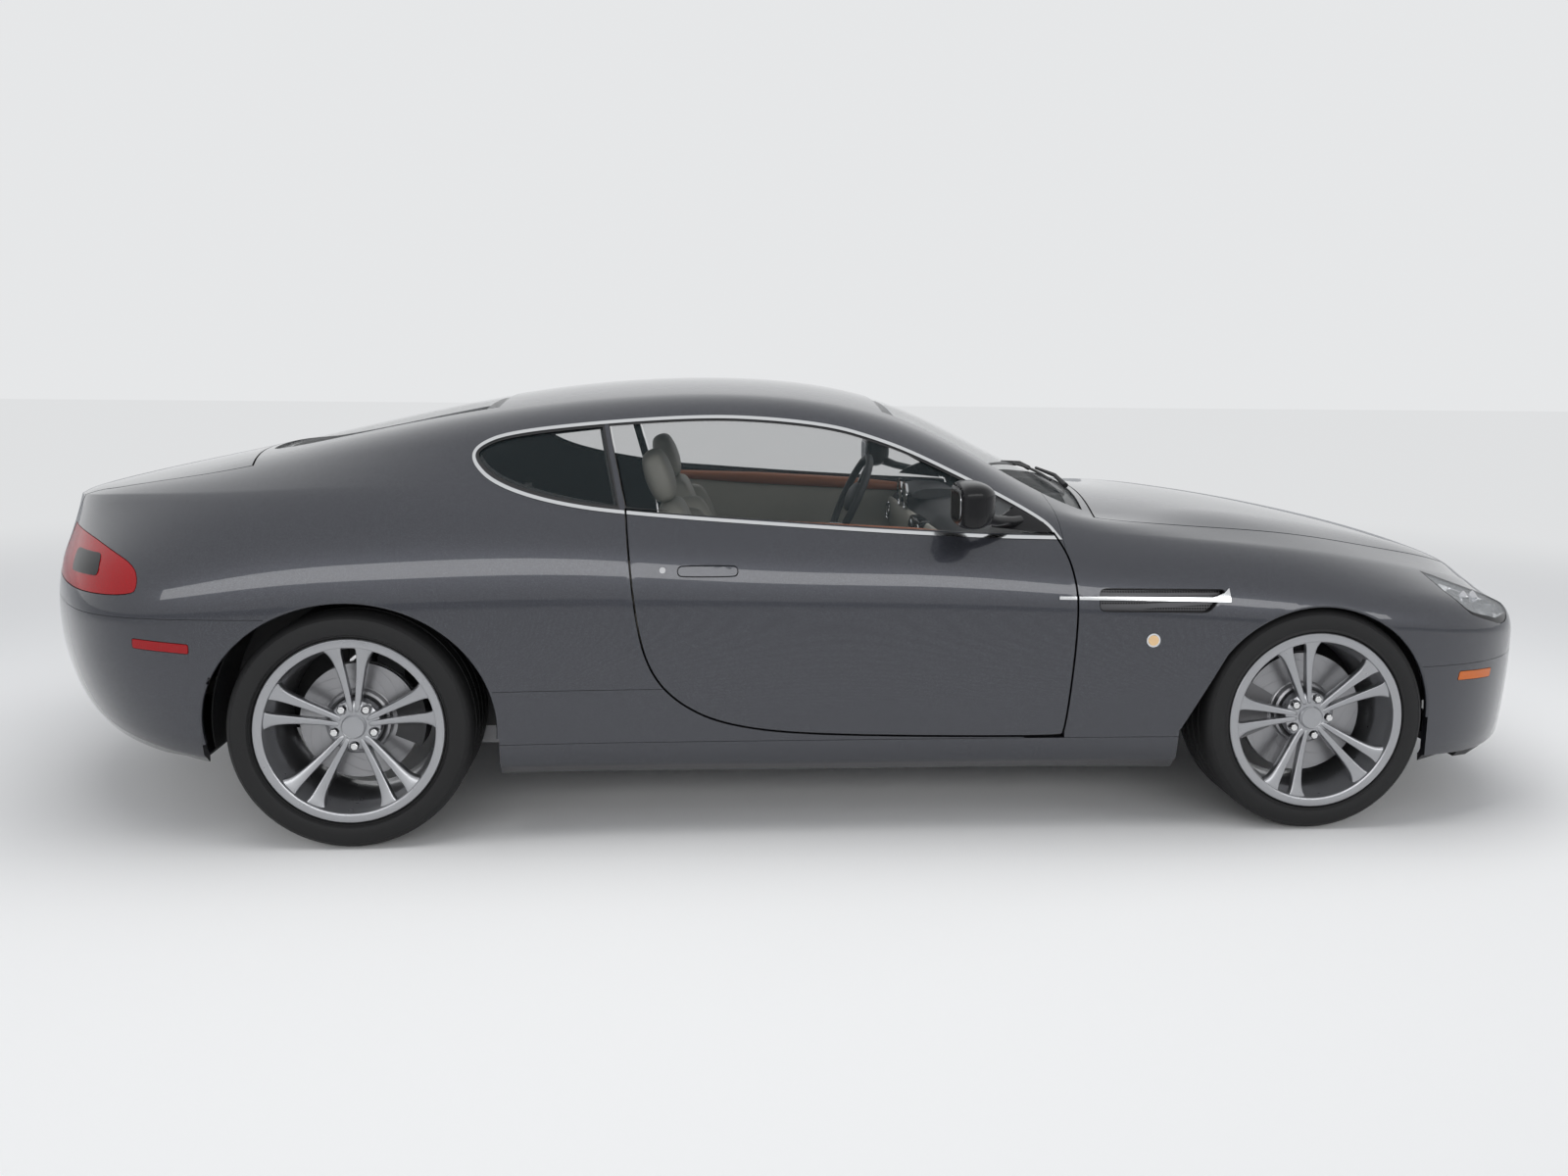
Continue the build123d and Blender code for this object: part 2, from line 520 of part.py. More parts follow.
carriers = {}
for axle, heading in (("front", -1), ("rear", 1)):
    x, y, z, width, rim, disc, arch_half, arch_high = AXLES[axle]
    carriers[axle] = Pos(x, 0, z) * upright(y, disc, heading)
write("knuckle_right", carriers["front"])
write("knuckle_left", flip(carriers["front"]))

front_x, front_y, front_z = AXLES["front"][:3]
rear_x, rear_y, rear_z = AXLES["rear"][:3]
RAIL_SIDE = RAIL_Y + RAIL_HALF
front_arms = [arm(front_x, front_z + CARRIER_HIGH + SEAM, TOWER_Y + SEAM, 70),
              arm(front_x, front_z - CARRIER_LOW - SEAM - ARM, RAIL_SIDE + SEAM, 110)]
rear_arms = [arm(rear_x, rear_z + CARRIER_HIGH + SEAM, RAIL_SIDE + SEAM, 70),
             arm(rear_x, rear_z - CARRIER_LOW - SEAM - ARM, RAIL_SIDE + SEAM, 70)]
damper_low = front_z - CARRIER_LOW
front_damper = Pos(front_x, -TOWER_Y - LINER - DAMPER_R - 3 * SEAM, (damper_low + TOWER_TOP) / 2) * Cylinder(
    DAMPER_R, TOWER_TOP - damper_low)
front_damper -= front_arms[0]
half_shaft = across(22, rear_x, rear_z, -rear_y - MOUNT_OUT + 128 + SEAM, -160)
final_drive = block(rear_x - 150, rear_x + 150, -160 + SEAM, 160 - SEAM, CROSS_TOP + SEAM, 400)

# ---------------------------------------------------------------- structure
half_chassis = block(-860, 1046, -SILL_IN, 1, FLOOR_TOP - 22, FLOOR_TOP)
half_chassis += block(REAR_WALL, -860, -590, 1, FLOOR_TOP - 22, FLOOR_TOP)
half_chassis += block(-860, 1040, -SILL_IN, -700, FLOOR_TOP, SILL_TOP - 10)
half_chassis += block(-860, 1040, -745, -650, FLOOR_TOP, SILL_TOP + 50)
half_chassis += block(REAR_WALL, 960, -TUNNEL_HALF, 1, FLOOR_TOP, 400)
half_chassis += block(940, 964, -700, 1, FLOOR_TOP, 800)
half_chassis += block(REAR_WALL - 24, REAR_WALL, -590, 1, FLOOR_TOP - 22, DECK_TOP)
half_chassis += block(REAR_WALL, -560, -590, 1, FLOOR_TOP, 350)
half_chassis += block(-1630, REAR_WALL, -440, 1, DECK_TOP - 12, DECK_TOP)
half_chassis += block(940, 2200, -RAIL_SIDE, -RAIL_Y + RAIL_HALF, RAIL_LOW, RAIL_TOP)
half_chassis += block(front_x - TOWER_HALF, front_x + TOWER_HALF, -TOWER_Y, -RAIL_Y, RAIL_TOP - 20, TOWER_TOP)
half_chassis += block(front_x - 110, front_x + 110, -RAIL_SIDE, 1, CROSS_LOW, CROSS_TOP)
half_chassis += block(front_x - 110, front_x + 110, -RAIL_SIDE, -RAIL_Y + RAIL_HALF, CROSS_TOP, RAIL_LOW)
half_chassis += block(2200, 2236, -400, 1, 380, 470)
half_chassis += block(2160, 2200, -RAIL_SIDE, -RAIL_Y + RAIL_HALF, RAIL_TOP, 470)
half_chassis += block(-2150, REAR_WALL, -RAIL_SIDE, -RAIL_Y + RAIL_HALF, REAR_RAIL_LOW, REAR_RAIL_TOP)
half_chassis += block(-2080, REAR_WALL, -REAR_LINER_Y, 1, REAR_RAIL_TOP, REAR_RAIL_TOP + 16)
half_chassis += block(rear_x - 70, rear_x + 70, -RAIL_SIDE, 1, CROSS_LOW, CROSS_TOP)
half_chassis += block(rear_x - 70, rear_x + 70, -RAIL_SIDE, -RAIL_Y + RAIL_HALF, CROSS_TOP, 520)
half_chassis += block(-2190, -2150, -480, 1, REAR_RAIL_LOW, 520)
# hinge posts with their leaves against the doors, and the bonnet's and boot lid's hinge seats
post = block(735, 790, -828, -725, FLOOR_TOP + 17, 755)
for low in HINGE_LOW:
    post += block(680, 736, -840, -790, low, low + HINGE_HIGH)
half_chassis += post - side_prism(DOOR_OUTLINE, 780, 851, SEAM - DOOR_STEP)
under_lids = half_body(SKIN + SEAM)
half_chassis += block(941, 975, -640, -590, 760, 980) & under_lids
half_chassis += block(-1760, -1600, -440, -410, DECK_TOP - 12, DECK_TOP)
half_chassis += block(-1760, -1700, -440, -410, DECK_TOP - 1, 1100) & under_lids
half_chassis -= across(32, rear_x, rear_z, -RAIL_SIDE - 1, -200)
chassis = whole(half_chassis)


def liner(x, z, radius, inner_y, outer_y):
    """Wheel-arch liner: an arched sheet and its inner wall, inside the body."""
    arch = across(radius, x, z, -outer_y, -inner_y) - across(radius - LINER, x, z, -1001, -inner_y - LINER)
    return arch & block(x - radius, x + radius, -1000, 0, FLOOR_TOP + 40, z + radius + 1)


front_liner = liner(front_x, front_z, FRONT_LINER_R, TOWER_Y + SEAM, LINER_OUT)
front_liner -= block(front_x - 80, front_x + 80, -500, -400, 485, 520)
rear_liner = liner(rear_x, rear_z, REAR_LINER_R, REAR_LINER_Y, LINER_OUT)
rear_liner -= block(rear_x - 80, rear_x + 80, -650, -600, 100, 530)

# ---------------------------------------------------------------- cabin, engine and small parts
def seat(x, y, width, cushion, base_z, back_high, tilt):
    """A seat seen from the side, cushion and backrest in one, across its width."""
    outline = make_face(Polyline((x, base_z), (x + 60, base_z - 70), (x + cushion - 50, base_z - 60),
                                 (x + cushion, base_z + 60), (x + cushion - 30, base_z + 110), (x + 120, base_z + 70), (x + 90 - tilt, base_z + back_high - 40),
                                 (x + 40 - tilt, base_z + back_high), (x - 40 - tilt, base_z + back_high - 30),
                                 (x - 70, base_z + 60), close=True))
    outline = fillet(outline.vertices(), 18)
    return extrude(Plane(origin=(0, -y + width / 2, 0), x_dir=(1, 0, 0), z_dir=(0, -1, 0)) * outline, amount=width)


front_seat = seat(-340, 375, 500, 530, FLOOR_TOP + 70 + SEAM, 790, 190)
rear_seat = seat(-840, 345, 440, 330, 420 + SEAM, 440, 60)
dash_outline = make_face(Polyline((470, 640), (430, 700), (440, 800), (520, 850), (800, 862), (940 - SEAM, 800), (940 - SEAM, 560),
                                  (620, 560), close=True))
dash_outline = fillet(dash_outline.vertices(), 20)
dashboard = extrude(Plane(origin=(0, 720, 0), x_dir=(1, 0, 0), z_dir=(0, -1, 0)) * dash_outline, amount=1440)
dashboard += block(-300, 700, -110, 110, 400 + SEAM, 520)
dashboard += block(440, 700, -110, 110, 500, 660)
steer_plane = Plane(origin=(STEERING_X, WHEEL_Y, STEERING_Z), x_dir=(0, 1, 0), z_dir=(-cos(radians(STEER_TILT)), 0, sin(radians(STEER_TILT))))
steering_wheel = steer_plane * (Torus(170, 15) + Pos(0, 0, -10) * Cylinder(52, 34)
                                + Pos(0, -60, -4) * Box(34, 210, 16) - Pos(0, -180, -4) * Box(60, 36, 30)
                                + Pos(0, 0, -4) * Box(316, 34, 16))
dashboard += steer_plane * Pos(0, 0, -127 - SEAM) * Cylinder(30, 200)
engine = block(1080, 1860, -250, 250, CROSS_TOP + SEAM, 745)
engine = chamfer(engine.edges().filter_by(Axis.X), 40)
silencer = block(-2060, -1760, -520, 520, 332, REAR_RAIL_LOW - SEAM)
silencer = fillet(silencer.edges().filter_by(Axis.Y), 30)
pipe = Pos(-2095, -PIPE_Y, PIPE_Z) * Rot(0, 90, 0) * (Cylinder(PIPE_R, 155) - Pos(0, 0, -30) * Cylinder(PIPE_R - 4, 155))
grille_outline = make_face(Polyline(*GRILLE, close=True))
frame_outline = offset(grille_outline, amount=-SEAM) - offset(grille_outline, amount=-12)
grille = extrude(Plane.YZ.offset(2280) * frame_outline, amount=50)
for bar in range(SLATS):
    slat_z = 335 + (566 - 335) / (SLATS + 1) * (bar + 1)
    half = 232 + (300 - 232) * (slat_z - 335) / (566 - 335) - 6
    grille += block(2288, 2312, -half, half, slat_z - 3, slat_z + 3)
vent_mesh = extrude(Plane.XZ.offset(884) * offset(make_face(Polyline(*VENT, close=True)), amount=-SEAM), amount=6)

# ---------------------------------------------------------------- files
write("chassis", chassis)
write("roof_panel", whole(roof_panel))
write("pillar_frame", whole(pillar_frame), whole(scuttle))
write("rear_quarters", *both(pillar_quarter), whole(tail_quarter))
write("sills", *both(sill), *both(front_sill))
write("front_wings", *both(wing))
write("bonnet", whole(bonnet))
write("boot_lid", whole(boot_lid))
write("front_bumper", whole(front_bumper))
write("rear_bumper", whole(rear_bumper))
write("lower_trims", whole(splitter), whole(diffuser))
write("headlamps", *both(headlamp))
write("tail_lamps", *both(tail_lamp), *both(red_marker))
write("amber_lamps", *both(amber_marker), *both(repeater))
write("windscreen", whole(windscreen))
write("rear_glass", whole(rear_glass), *both(quarter_glass))
write("grilles", grille, *both(vent_mesh))
for label, place in (("right", lambda s: s), ("left", flip)):
    write("door_" + label, place(door))
    write("door_card_" + label, place(door_card))
    write("door_glass_" + label, place(door_glass))
    write("door_mirror_" + label, place(door_mirror))
write("arch_liners", *both(front_liner), *both(rear_liner))
write("front_suspension", *both(front_arms[0]), *both(front_arms[1]), *both(front_damper))
write("rear_suspension", *both(rear_arms[0]), *both(rear_arms[1]), *both(carriers["rear"]), *both(half_shaft), final_drive)
write("front_seats", *both(front_seat))
write("rear_seats", *both(rear_seat))
write("dashboard", dashboard)
write("steering_wheel", steering_wheel)
write("engine", engine)
write("exhaust", silencer, *both(pipe))
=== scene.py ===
from math import atan2, cos, degrees, pi, radians, sin, sqrt

import bmesh
import bpy
import numpy as np
from mathutils import Matrix, Vector
from mathutils.bvhtree import BVHTree


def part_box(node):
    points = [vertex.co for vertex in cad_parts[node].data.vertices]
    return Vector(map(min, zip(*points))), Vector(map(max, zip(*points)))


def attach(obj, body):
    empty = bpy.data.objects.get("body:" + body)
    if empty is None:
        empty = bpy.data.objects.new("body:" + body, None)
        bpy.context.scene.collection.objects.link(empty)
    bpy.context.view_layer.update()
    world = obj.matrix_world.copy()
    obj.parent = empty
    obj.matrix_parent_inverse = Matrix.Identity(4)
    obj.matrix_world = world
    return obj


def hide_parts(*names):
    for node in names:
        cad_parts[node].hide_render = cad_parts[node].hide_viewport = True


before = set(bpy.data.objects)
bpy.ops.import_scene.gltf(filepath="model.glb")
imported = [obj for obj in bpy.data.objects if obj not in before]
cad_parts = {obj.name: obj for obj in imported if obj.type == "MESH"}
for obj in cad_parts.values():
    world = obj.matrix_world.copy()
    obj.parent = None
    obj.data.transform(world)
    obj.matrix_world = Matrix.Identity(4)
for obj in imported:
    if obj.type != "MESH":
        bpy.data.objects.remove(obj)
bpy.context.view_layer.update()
bpy.ops.object.select_all(action="DESELECT")
MM = 0.001

# ---------------------------------------------------------------- body surface
# The outside of the pressed aluminium and composite body, before it is cut into panels.  Each row
# is one cross-section, right half; the rows are faired lengthways so that highlights run clean.
BODY = [
    # x, z_top, y_rail, z_rail, a_glass, y_belt, z_belt, a_side, y_max, z_max, y_sill, z_sill, z_floor
    (-2350, 862, 80, 861, 10, 105, 858, 62, 150, 610, 140, 480, 440),
    (-2322, 905, 130, 902, 10, 170, 897, 62, 300, 612, 265, 445, 410),
    (-2250, 938, 220, 933, 12, 330, 918, 62, 490, 614, 425, 405, 370),
    (-2150, 965, 290, 956, 14, 470, 931, 58, 650, 616, 570, 365, 330),
    (-2020, 995, 350, 980, 18, 585, 945, 48, 812, 620, 715, 322, 288),
    (-1850, 1032, 400, 1012, 22, 680, 956, 40, 895, 626, 820, 282, 250),
    (-1600, 1090, 445, 1062, 26, 752, 970, 36, 928, 634, 880, 250, 220),
    (-1285, 1165, 475, 1130, 34, 788, 985, 40, 937, 645, 898, 232, 198),
    (-850, 1249, 505, 1208, 52, 806, 962, 46, 920, 652, 885, 228, 190),
    (-330, 1292, 522, 1252, 60, 818, 905, 50, 905, 655, 876, 228, 188),
    (100, 1265, 540, 1220, 60, 818, 885, 50, 903, 652, 876, 226, 186),
    (480, 1145, 560, 1080, 58, 812, 876, 46, 905, 645, 877, 226, 186),
    (820, 980, 590, 916, 36, 790, 862, 36, 908, 635, 880, 224, 184),
    (1120, 914, 480, 896, 14, 775, 842, 26, 914, 620, 886, 220, 180),
    (1460, 886, 440, 872, 14, 765, 808, 22, 918, 605, 892, 215, 178),
    (1780, 832, 400, 819, 14, 705, 755, 20, 892, 585, 870, 212, 176),
    (2010, 778, 360, 765, 14, 612, 705, 20, 828, 565, 805, 215, 178),
    (2140, 736, 310, 724, 14, 520, 672, 20, 740, 548, 710, 225, 186),
    (2240, 690, 240, 680, 14, 400, 636, 20, 612, 530, 575, 245, 204),
    (2312, 642, 170, 636, 12, 270, 602, 20, 440, 508, 400, 275, 235),
    (2350, 580, 90, 577, 12, 150, 560, 20, 235, 480, 205, 320, 285),
]
STATIONS = 170                  # faired sections along the car
FAIRNESS = 30.0                 # how stiff the fairing batten is
SILL_TUCK = 35


def faired(rows, count, stiffness):
    """Rows drawn through a stiff batten: many rows, evenly spaced along the body side."""
    rows = np.array(rows, float)
    steps = np.sqrt(np.diff(rows[:, 0]) ** 2 + 0.6 * np.diff(rows[:, 8]) ** 2)
    place = np.concatenate([[0], np.cumsum(steps)])
    place = place / place[-1] * (count - 1)
    pull = np.zeros((len(rows), count))
    for row, at in enumerate(place):
        low = min(int(at), count - 2)
        pull[row, low], pull[row, low + 1] = low + 1 - at, at - low
    weight = np.ones(len(rows))
    weight[[0, 1, -2, -1]] = 60.0
    bend = np.diff(np.eye(count), 3, axis=0)
    left = pull.T @ (weight[:, None] * pull) + stiffness * bend.T @ bend
    return np.linalg.solve(left, pull.T @ (weight[:, None] * rows))


def arc_points(start, middle, end, count):
    """Points from start towards end on the arc through middle, without the end."""
    (ax, ay), (bx, by), (cx, cy) = start, middle, end
    turn = 2 * (ax * (by - cy) + bx * (cy - ay) + cx * (ay - by))
    share = np.arange(count) / count
    if abs(turn) < 1e-3:
        return [(ax + (cx - ax) * s, ay + (cy - ay) * s) for s in share]
    sa, sb, sc = ax * ax + ay * ay, bx * bx + by * by, cx * cx + cy * cy
    ux = (sa * (by - cy) + sb * (cy - ay) + sc * (ay - by)) / turn
    uy = (sa * (cx - bx) + sb * (ax - cx) + sc * (bx - ax)) / turn
    radius = sqrt((ax - ux) ** 2 + (ay - uy) ** 2)
    first, last = atan2(ay - uy, ax - ux), atan2(cy - uy, cx - ux)
    sweep = (last - first + pi) % (2 * pi) - pi
    return [(ux + radius * cos(first + sweep * s), uy + radius * sin(first + sweep * s)) for s in share]


def arc_middle(start, tangent, end):
    normal = Vector((-tangent.y, tangent.x))
    chord = end - start
    side = normal.dot(chord)
    if abs(side) < 1e-6:
        return (start + end) * 0.5
    radius = chord.dot(chord) / (2 * side)
    centre = start + normal * radius
    outward = (start - centre) + (end - centre)
    return centre + outward.normalized() * abs(radius)


def two_arcs(start, tangent, end, end_tangent):
    chord = end - start
    both = tangent + end_tangent
    spread = 2 * (1 - tangent.dot(end_tangent))
    if spread < 1e-9:
        reach = chord.dot(chord) / (4 * chord.dot(end_tangent))
    else:
        reach = (sqrt(chord.dot(both) ** 2 + spread * chord.dot(chord)) - chord.dot(both)) / spread
    middle = (start + end + (tangent - end_tangent) * reach) * 0.5
    return [(start, arc_middle(start, tangent, middle), middle),
            (middle, arc_middle(end, -end_tangent, middle), end)]


def falling(angle):
    return Vector((cos(radians(angle)), -sin(radians(angle))))


def section(row):
    """Right half of one cross-section as y-outward and z, from the centre down to the floor."""
    x, z_top, y_rail, z_rail, a_glass, y_belt, z_belt, a_side, y_max, z_max, y_sill, z_sill, z_floor = row
    a_roof = degrees(2 * atan2(z_top - z_rail, y_rail))
    top, rail, belt = Vector((0, z_top)), Vector((y_rail, z_rail)), Vector((y_belt, z_belt))
    widest, sill = Vector((y_max, z_max)), Vector((y_sill, z_sill))
    arcs = [(top, arc_middle(top, Vector((1, 0)), rail), rail, 12)]
    arcs += [arc + (9,) for arc in two_arcs(rail, falling(a_roof), belt, falling(a_glass))]
    arcs += [arc + (7,) for arc in two_arcs(belt, falling(a_side), widest, Vector((0, -1)))]
    arcs += [(widest, arc_middle(widest, Vector((0, -1)), sill), sill, 8)]
    points = []
    for start, middle, end, count in arcs:
        points += arc_points(start, middle, end, count)
    return points + [(y_sill, z_sill), (y_sill - SILL_TUCK, z_floor), (0, z_floor)]


half = np.array([[(row[0], -y, z) for y, z in section(row)] for row in faired(BODY, STATIONS, FAIRNESS)])
# both halves as one ring per station: down the right side and up the left
ring = np.concatenate([half, (half * [1, -1, 1])[:, -2:0:-1]], axis=1) * MM
around = ring.shape[1]
along = np.gradient(ring, axis=0)
across = (np.roll(ring, -1, axis=1) - np.roll(ring, 1, axis=1))
surface_normal = np.cross(across, along)
surface_normal /= np.linalg.norm(surface_normal, axis=2)[:, :, None]


# the faces between neighbouring stations, as corners in that ring
GRID = [(i + j, i + (j + 1) % around, i + around + (j + 1) % around, i + around + j)
        for i in range(0, (STATIONS - 1) * around, around) for j in range(around)]


def put(name, data):
    """A new object in the scene."""
    thing = bpy.data.objects.new(name, data)
    bpy.context.scene.collection.objects.link(thing)
    return thing


def body_mesh(name, depth):
    """Closed body volume, depth metres under the painted surface."""
    points = ring - surface_normal * depth
    faces = list(GRID)
    for base in (0, (STATIONS - 1) * around):
        for j in range(around // 2):
            a, b, c, d = j, j + 1, (around - j - 1) % around, (around - j) % around
            quad = [base + v for v in dict.fromkeys((a, b, c, d))]
            if len(quad) > 2:
                faces.append(tuple(quad) if base == 0 else tuple(reversed(quad)))
    mesh = bpy.data.meshes.new(name)
    mesh.from_pydata(points.reshape(-1, 3).tolist(), [], faces)
    mesh.polygons.foreach_set("use_smooth", [True] * len(mesh.polygons))
    mesh.update()
    piece = put(name, mesh)
    bpy.context.view_layer.objects.active = piece
    piece.select_set(True)
    bpy.ops.object.mode_set(mode="EDIT")
    bpy.ops.mesh.select_all(action="SELECT")
    bpy.ops.mesh.normals_make_consistent(inside=False)
    shape = bmesh.from_edit_mesh(mesh)
    if shape.calc_volume(signed=True) < 0:      # tight corners can turn the whole shell round
        bpy.ops.mesh.flip_normals()
    bpy.ops.object.mode_set(mode="OBJECT")
    piece.select_set(False)
    return piece


# ---------------------------------------------------------------- cutting shapes
# The shut lines and openings of the body, drawn from the side (x, z) or from above (x, y).
AXLES = {
    # wheel centre x, y, z; tyre width, rim width, disc radius; arch half length and height
    "front": (1460, 784, 330, 235, 216, 178, 352, 343),
    "rear": (-1285, 781, 333, 275, 241, 165, 402, 366),
}
FRONT_X, REAR_X = AXLES["front"][0], AXLES["rear"][0]
SKIN = 24                       # a panel with its folded edge
GAP = 6                         # shut lines
SEAM = 1.2                      # joints between fixed panels
PANEL, GLAZING = (700, 1000), (300, 1000)       # how far a cut from the side reaches, in y
ARCH_SPAN, TAIL_SPAN = (560, 1000), (420, 1100)
SIDES = (("right", -1), ("left", 1))            # and the sign of y there
BEHIND, AHEAD, BELOW, ABOVE, WIDE = -2400, 2400, 100, 1400, 1000    # past the body on every side
SHELL_FRONT = 716               # the welded shell ends behind the wings
SILL_BACK, SILL_FRONT = -905, 1190
NOSE_STEP, NOSE_HALF = 2100, 310    # the front bumper runs up between the wings from here
TUB_HALF, TUB_TOP = 829, 245    # the flat floor between the sills
TRIM_DEPTH = 0.01               # sheets this far off the paint still take its shading
LIP, LIP_REACH = 5, 60          # a front wing's edge is thin round the arch, so that the wheel can turn


def curved(points, corners=(), passes=3):
    """A closed outline with its corners cut round, except those listed."""
    line = [(Vector(p), i in corners) for i, p in enumerate(points)]
    for _ in range(passes):
        finer = []
        for i, (p, sharp) in enumerate(line):
            before, after = line[i - 1][0], line[(i + 1) % len(line)][0]
            if sharp:
                finer.append((p, True))
            else:
                finer += [(p.lerp(before, 0.25), False), (p.lerp(after, 0.25), False)]
        line = finer
    return [p for p, sharp in line]


def rounded(points, radius, steps=4):
    """A closed outline with every corner rounded by the same amount."""
    line = []
    points = [Vector(p) for p in points]
    for i, p in enumerate(points):
        before, after = points[i - 1] - p, points[(i + 1) % len(points)] - p
        a = p + before.normalized() * min(radius, before.length * 0.49)
        b = p + after.normalized() * min(radius, after.length * 0.49)
        for k in range(steps + 1):
            t = k / steps
            line.append(a * (1 - t) ** 2 + p * (2 * t * (1 - t)) + b * t ** 2)
    return line


def grown(points, amount):
    """The outline moved outwards by amount."""
    points = [Vector(p) for p in points]
    area = sum(a.x * b.y - b.x * a.y for a, b in zip(points, points[1:] + points[:1]))
    turn = 1 if area > 0 else -1
    moved = []
    for i, p in enumerate(points):
        a, b = (p - points[i - 1]), (points[(i + 1) % len(points)] - p)
        if a.length < 1e-6 or b.length < 1e-6:
            continue
        a, b = a.normalized(), b.normalized()
        out = Vector((a.y, -a.x)) + Vector((b.y, -b.x))
        out.normalize()
        moved.append(p + out * (amount * turn / max(0.3, out.dot(Vector((a.y, -a.x))))))
    return moved


def finished(shape, name):
    """The drawn faces as an object, turned outwards."""
    bmesh.ops.recalc_face_normals(shape, faces=shape.faces)
    mesh = bpy.data.meshes.new(name)
    shape.to_mesh(mesh)
    shape.free()
    return put(name, mesh)


def prism(points, view, low, high, grow=0, sides="both"):
    """A closed prism of an outline in millimetres: view is side, plan or front."""
    outline = grown(points, grow) if grow else [Vector(p) for p in points]
    place = {"side": lambda p, t: (p.x, -t, p.y), "plan": lambda p, t: (p.x, p.y, t),
             "front": lambda p, t: (t, p.x, p.y)}[view]
    shape = bmesh.new()
    flips = (1, -1) if view == "side" and sides == "both" else (-1,) if sides == "left" else (1,)
    for side in flips:
        ends = []
        for t in (low, high):
            verts = [place(p, t) for p in outline]
            ends.append([shape.verts.new((x * MM, y * side * MM, z * MM)) for x, y, z in verts])
        shape.faces.new(ends[0])
        shape.faces.new(ends[1])
        for i in range(len(outline)):
            k = (i + 1) % len(outline)
            shape.faces.new((ends[0][i], ends[0][k], ends[1][k], ends[1][i]))
    return finished(shape, "tool")


def box(x0, x1, y0, y1, z0, z1):
    return prism([(x0, y0), (x1, y0), (x1, y1), (x0, y1)], "plan", z0, z1)


def slab(x0, x1, z0, z1):
    """A box right across the car."""
    return box(x0, x1, -WIDE, WIDE, z0, z1)


def round_hole(x, z, across_half, high, y_from, y_to, count=96):
    turn = [2 * pi * i / count for i in range(count)]
    points = [(x + across_half * cos(t), z + high * sin(t)) for t in turn]
    return prism(points, "side", y_from, y_to)


def right_half(points):
    """The whole plan outline of a part that crosses the middle, from its right half."""
    return [(x, -y) for x, y in points] + [(x, y) for x, y in reversed(points) if y > 0]


def copy_of(piece, name):
    twin = piece.copy()
    twin.data = piece.data.copy()
    twin.name = twin.data.name = name
    bpy.context.scene.collection.objects.link(twin)
    return twin


def cut(piece, tools, how="DIFFERENCE"):
    """Boolean modifiers applied one after another; the tools are used up."""
    bpy.context.view_layer.objects.active = piece
    for tool in tools:
        work = piece.modifiers.new("cut", "BOOLEAN")
        work.operation, work.solver, work.object = how, "MANIFOLD", tool
        bpy.ops.object.modifier_apply(modifier=work.name)
    for tool in tools:
        if tool.name.startswith("tool"):
            bpy.data.objects.remove(tool)
    return piece


def keep(piece, tool):
    """Only the part of the piece inside the tool."""
    return cut(piece, [tool], "INTERSECT")


painted = body_mesh("painted", 0)
lining = body_mesh("lining", SKIN * MM)
flat_normals = surface_normal.reshape(-1, 3)
flat_points = ring.reshape(-1, 3)
surface_tree = BVHTree.FromPolygons([Vector(p) for p in flat_points], GRID)
# a station's twentieth point lies on the right side, where outwards is towards -y
outside = 1 if flat_normals[5 * around + 20][1] < 0 else -1


def smooth_normal(point):
    """The faired surface's normal nearest to a point, and how far away it is."""
    spot, normal, face, distance = surface_tree.find_nearest(point)
    total = Vector()
    for c in GRID[face]:
        total += Vector(flat_normals[c]) / max((Vector(flat_points[c]) - spot).length, 1e-5)
    return total.normalized() * outside, distance


def soften(piece, angle=32):
    bpy.context.view_layer.objects.active = piece
    piece.select_set(True)
    bpy.ops.object.shade_smooth_by_angle(angle=radians(angle))
    piece.select_set(False)


def polish(piece, depth=0.0):
    """Takes the shading of the outer faces from the uncut surface, so that cuts leave no ripples."""
    mesh = piece.data
    soften(piece, 28)
    normals = [Vector(n.vector) for n in mesh.corner_normals]
    for face in mesh.polygons:
        normal, distance = smooth_normal(face.center)
        if distance < depth + 0.0022 and face.normal.dot(normal) > 0.86:
            for k in face.loop_indices:
                normals[k] = smooth_normal(mesh.vertices[mesh.loops[k].vertex_index].co)[0]
    mesh.normals_split_custom_set(normals)


BELT = [(690, 863), (475, 869), (76, 889), (-536, 931)]
DOOR_LOW = [(-505, 640), (-470, 500), (-395, 405), (-258, 335), (0, 302), (700, 290), (716, 306), (741, 660),
            (724, 800)]
WINDOW_TOP = [(-596, 1166), (-314, 1184), (-120, 1178), (60, 1158), (180, 1124), (290, 1084), (440, 1013),
              (560, 955), (672, 890)]
DOOR = curved(BELT + DOOR_LOW, corners=(0, 3))
DOOR_WINDOW = curved(BELT + WINDOW_TOP, corners=(0, 3, 4, 12))
DOOR_PANE = curved([(x + 3, z - 14) for x, z in BELT] + WINDOW_TOP, corners=(0, 3, 4, 12))
QUARTER_BACK = [(-752, 962), (-905, 1010), (-972, 1066), (-965, 1098), (-882, 1132), (-612, 1164)]
QUARTER_WINDOW = curved([(-556, 928)] + QUARTER_BACK, corners=(0, 6))
SIDE_GLASS = curved(BELT + QUARTER_BACK + WINDOW_TOP[1:], corners=(0,))
SCREEN = curved(right_half([(236, 470), (838, 600), (872, 420), (892, 200)]), corners=(0, 1, 6, 7))
REAR_SCREEN = curved(right_half([(-950, 440), (-1640, 400), (-1700, 200)]), corners=(0, 5))
BONNET = curved(right_half([(930, 0), (918, 300), (880, 560), (858, 672), (1120, 655), (1460, 630),
                            (1780, 575), (2010, 480), (2140, 395), (2225, 300),
                            (2400, 260)]), corners=(3, 10, 11, 18))
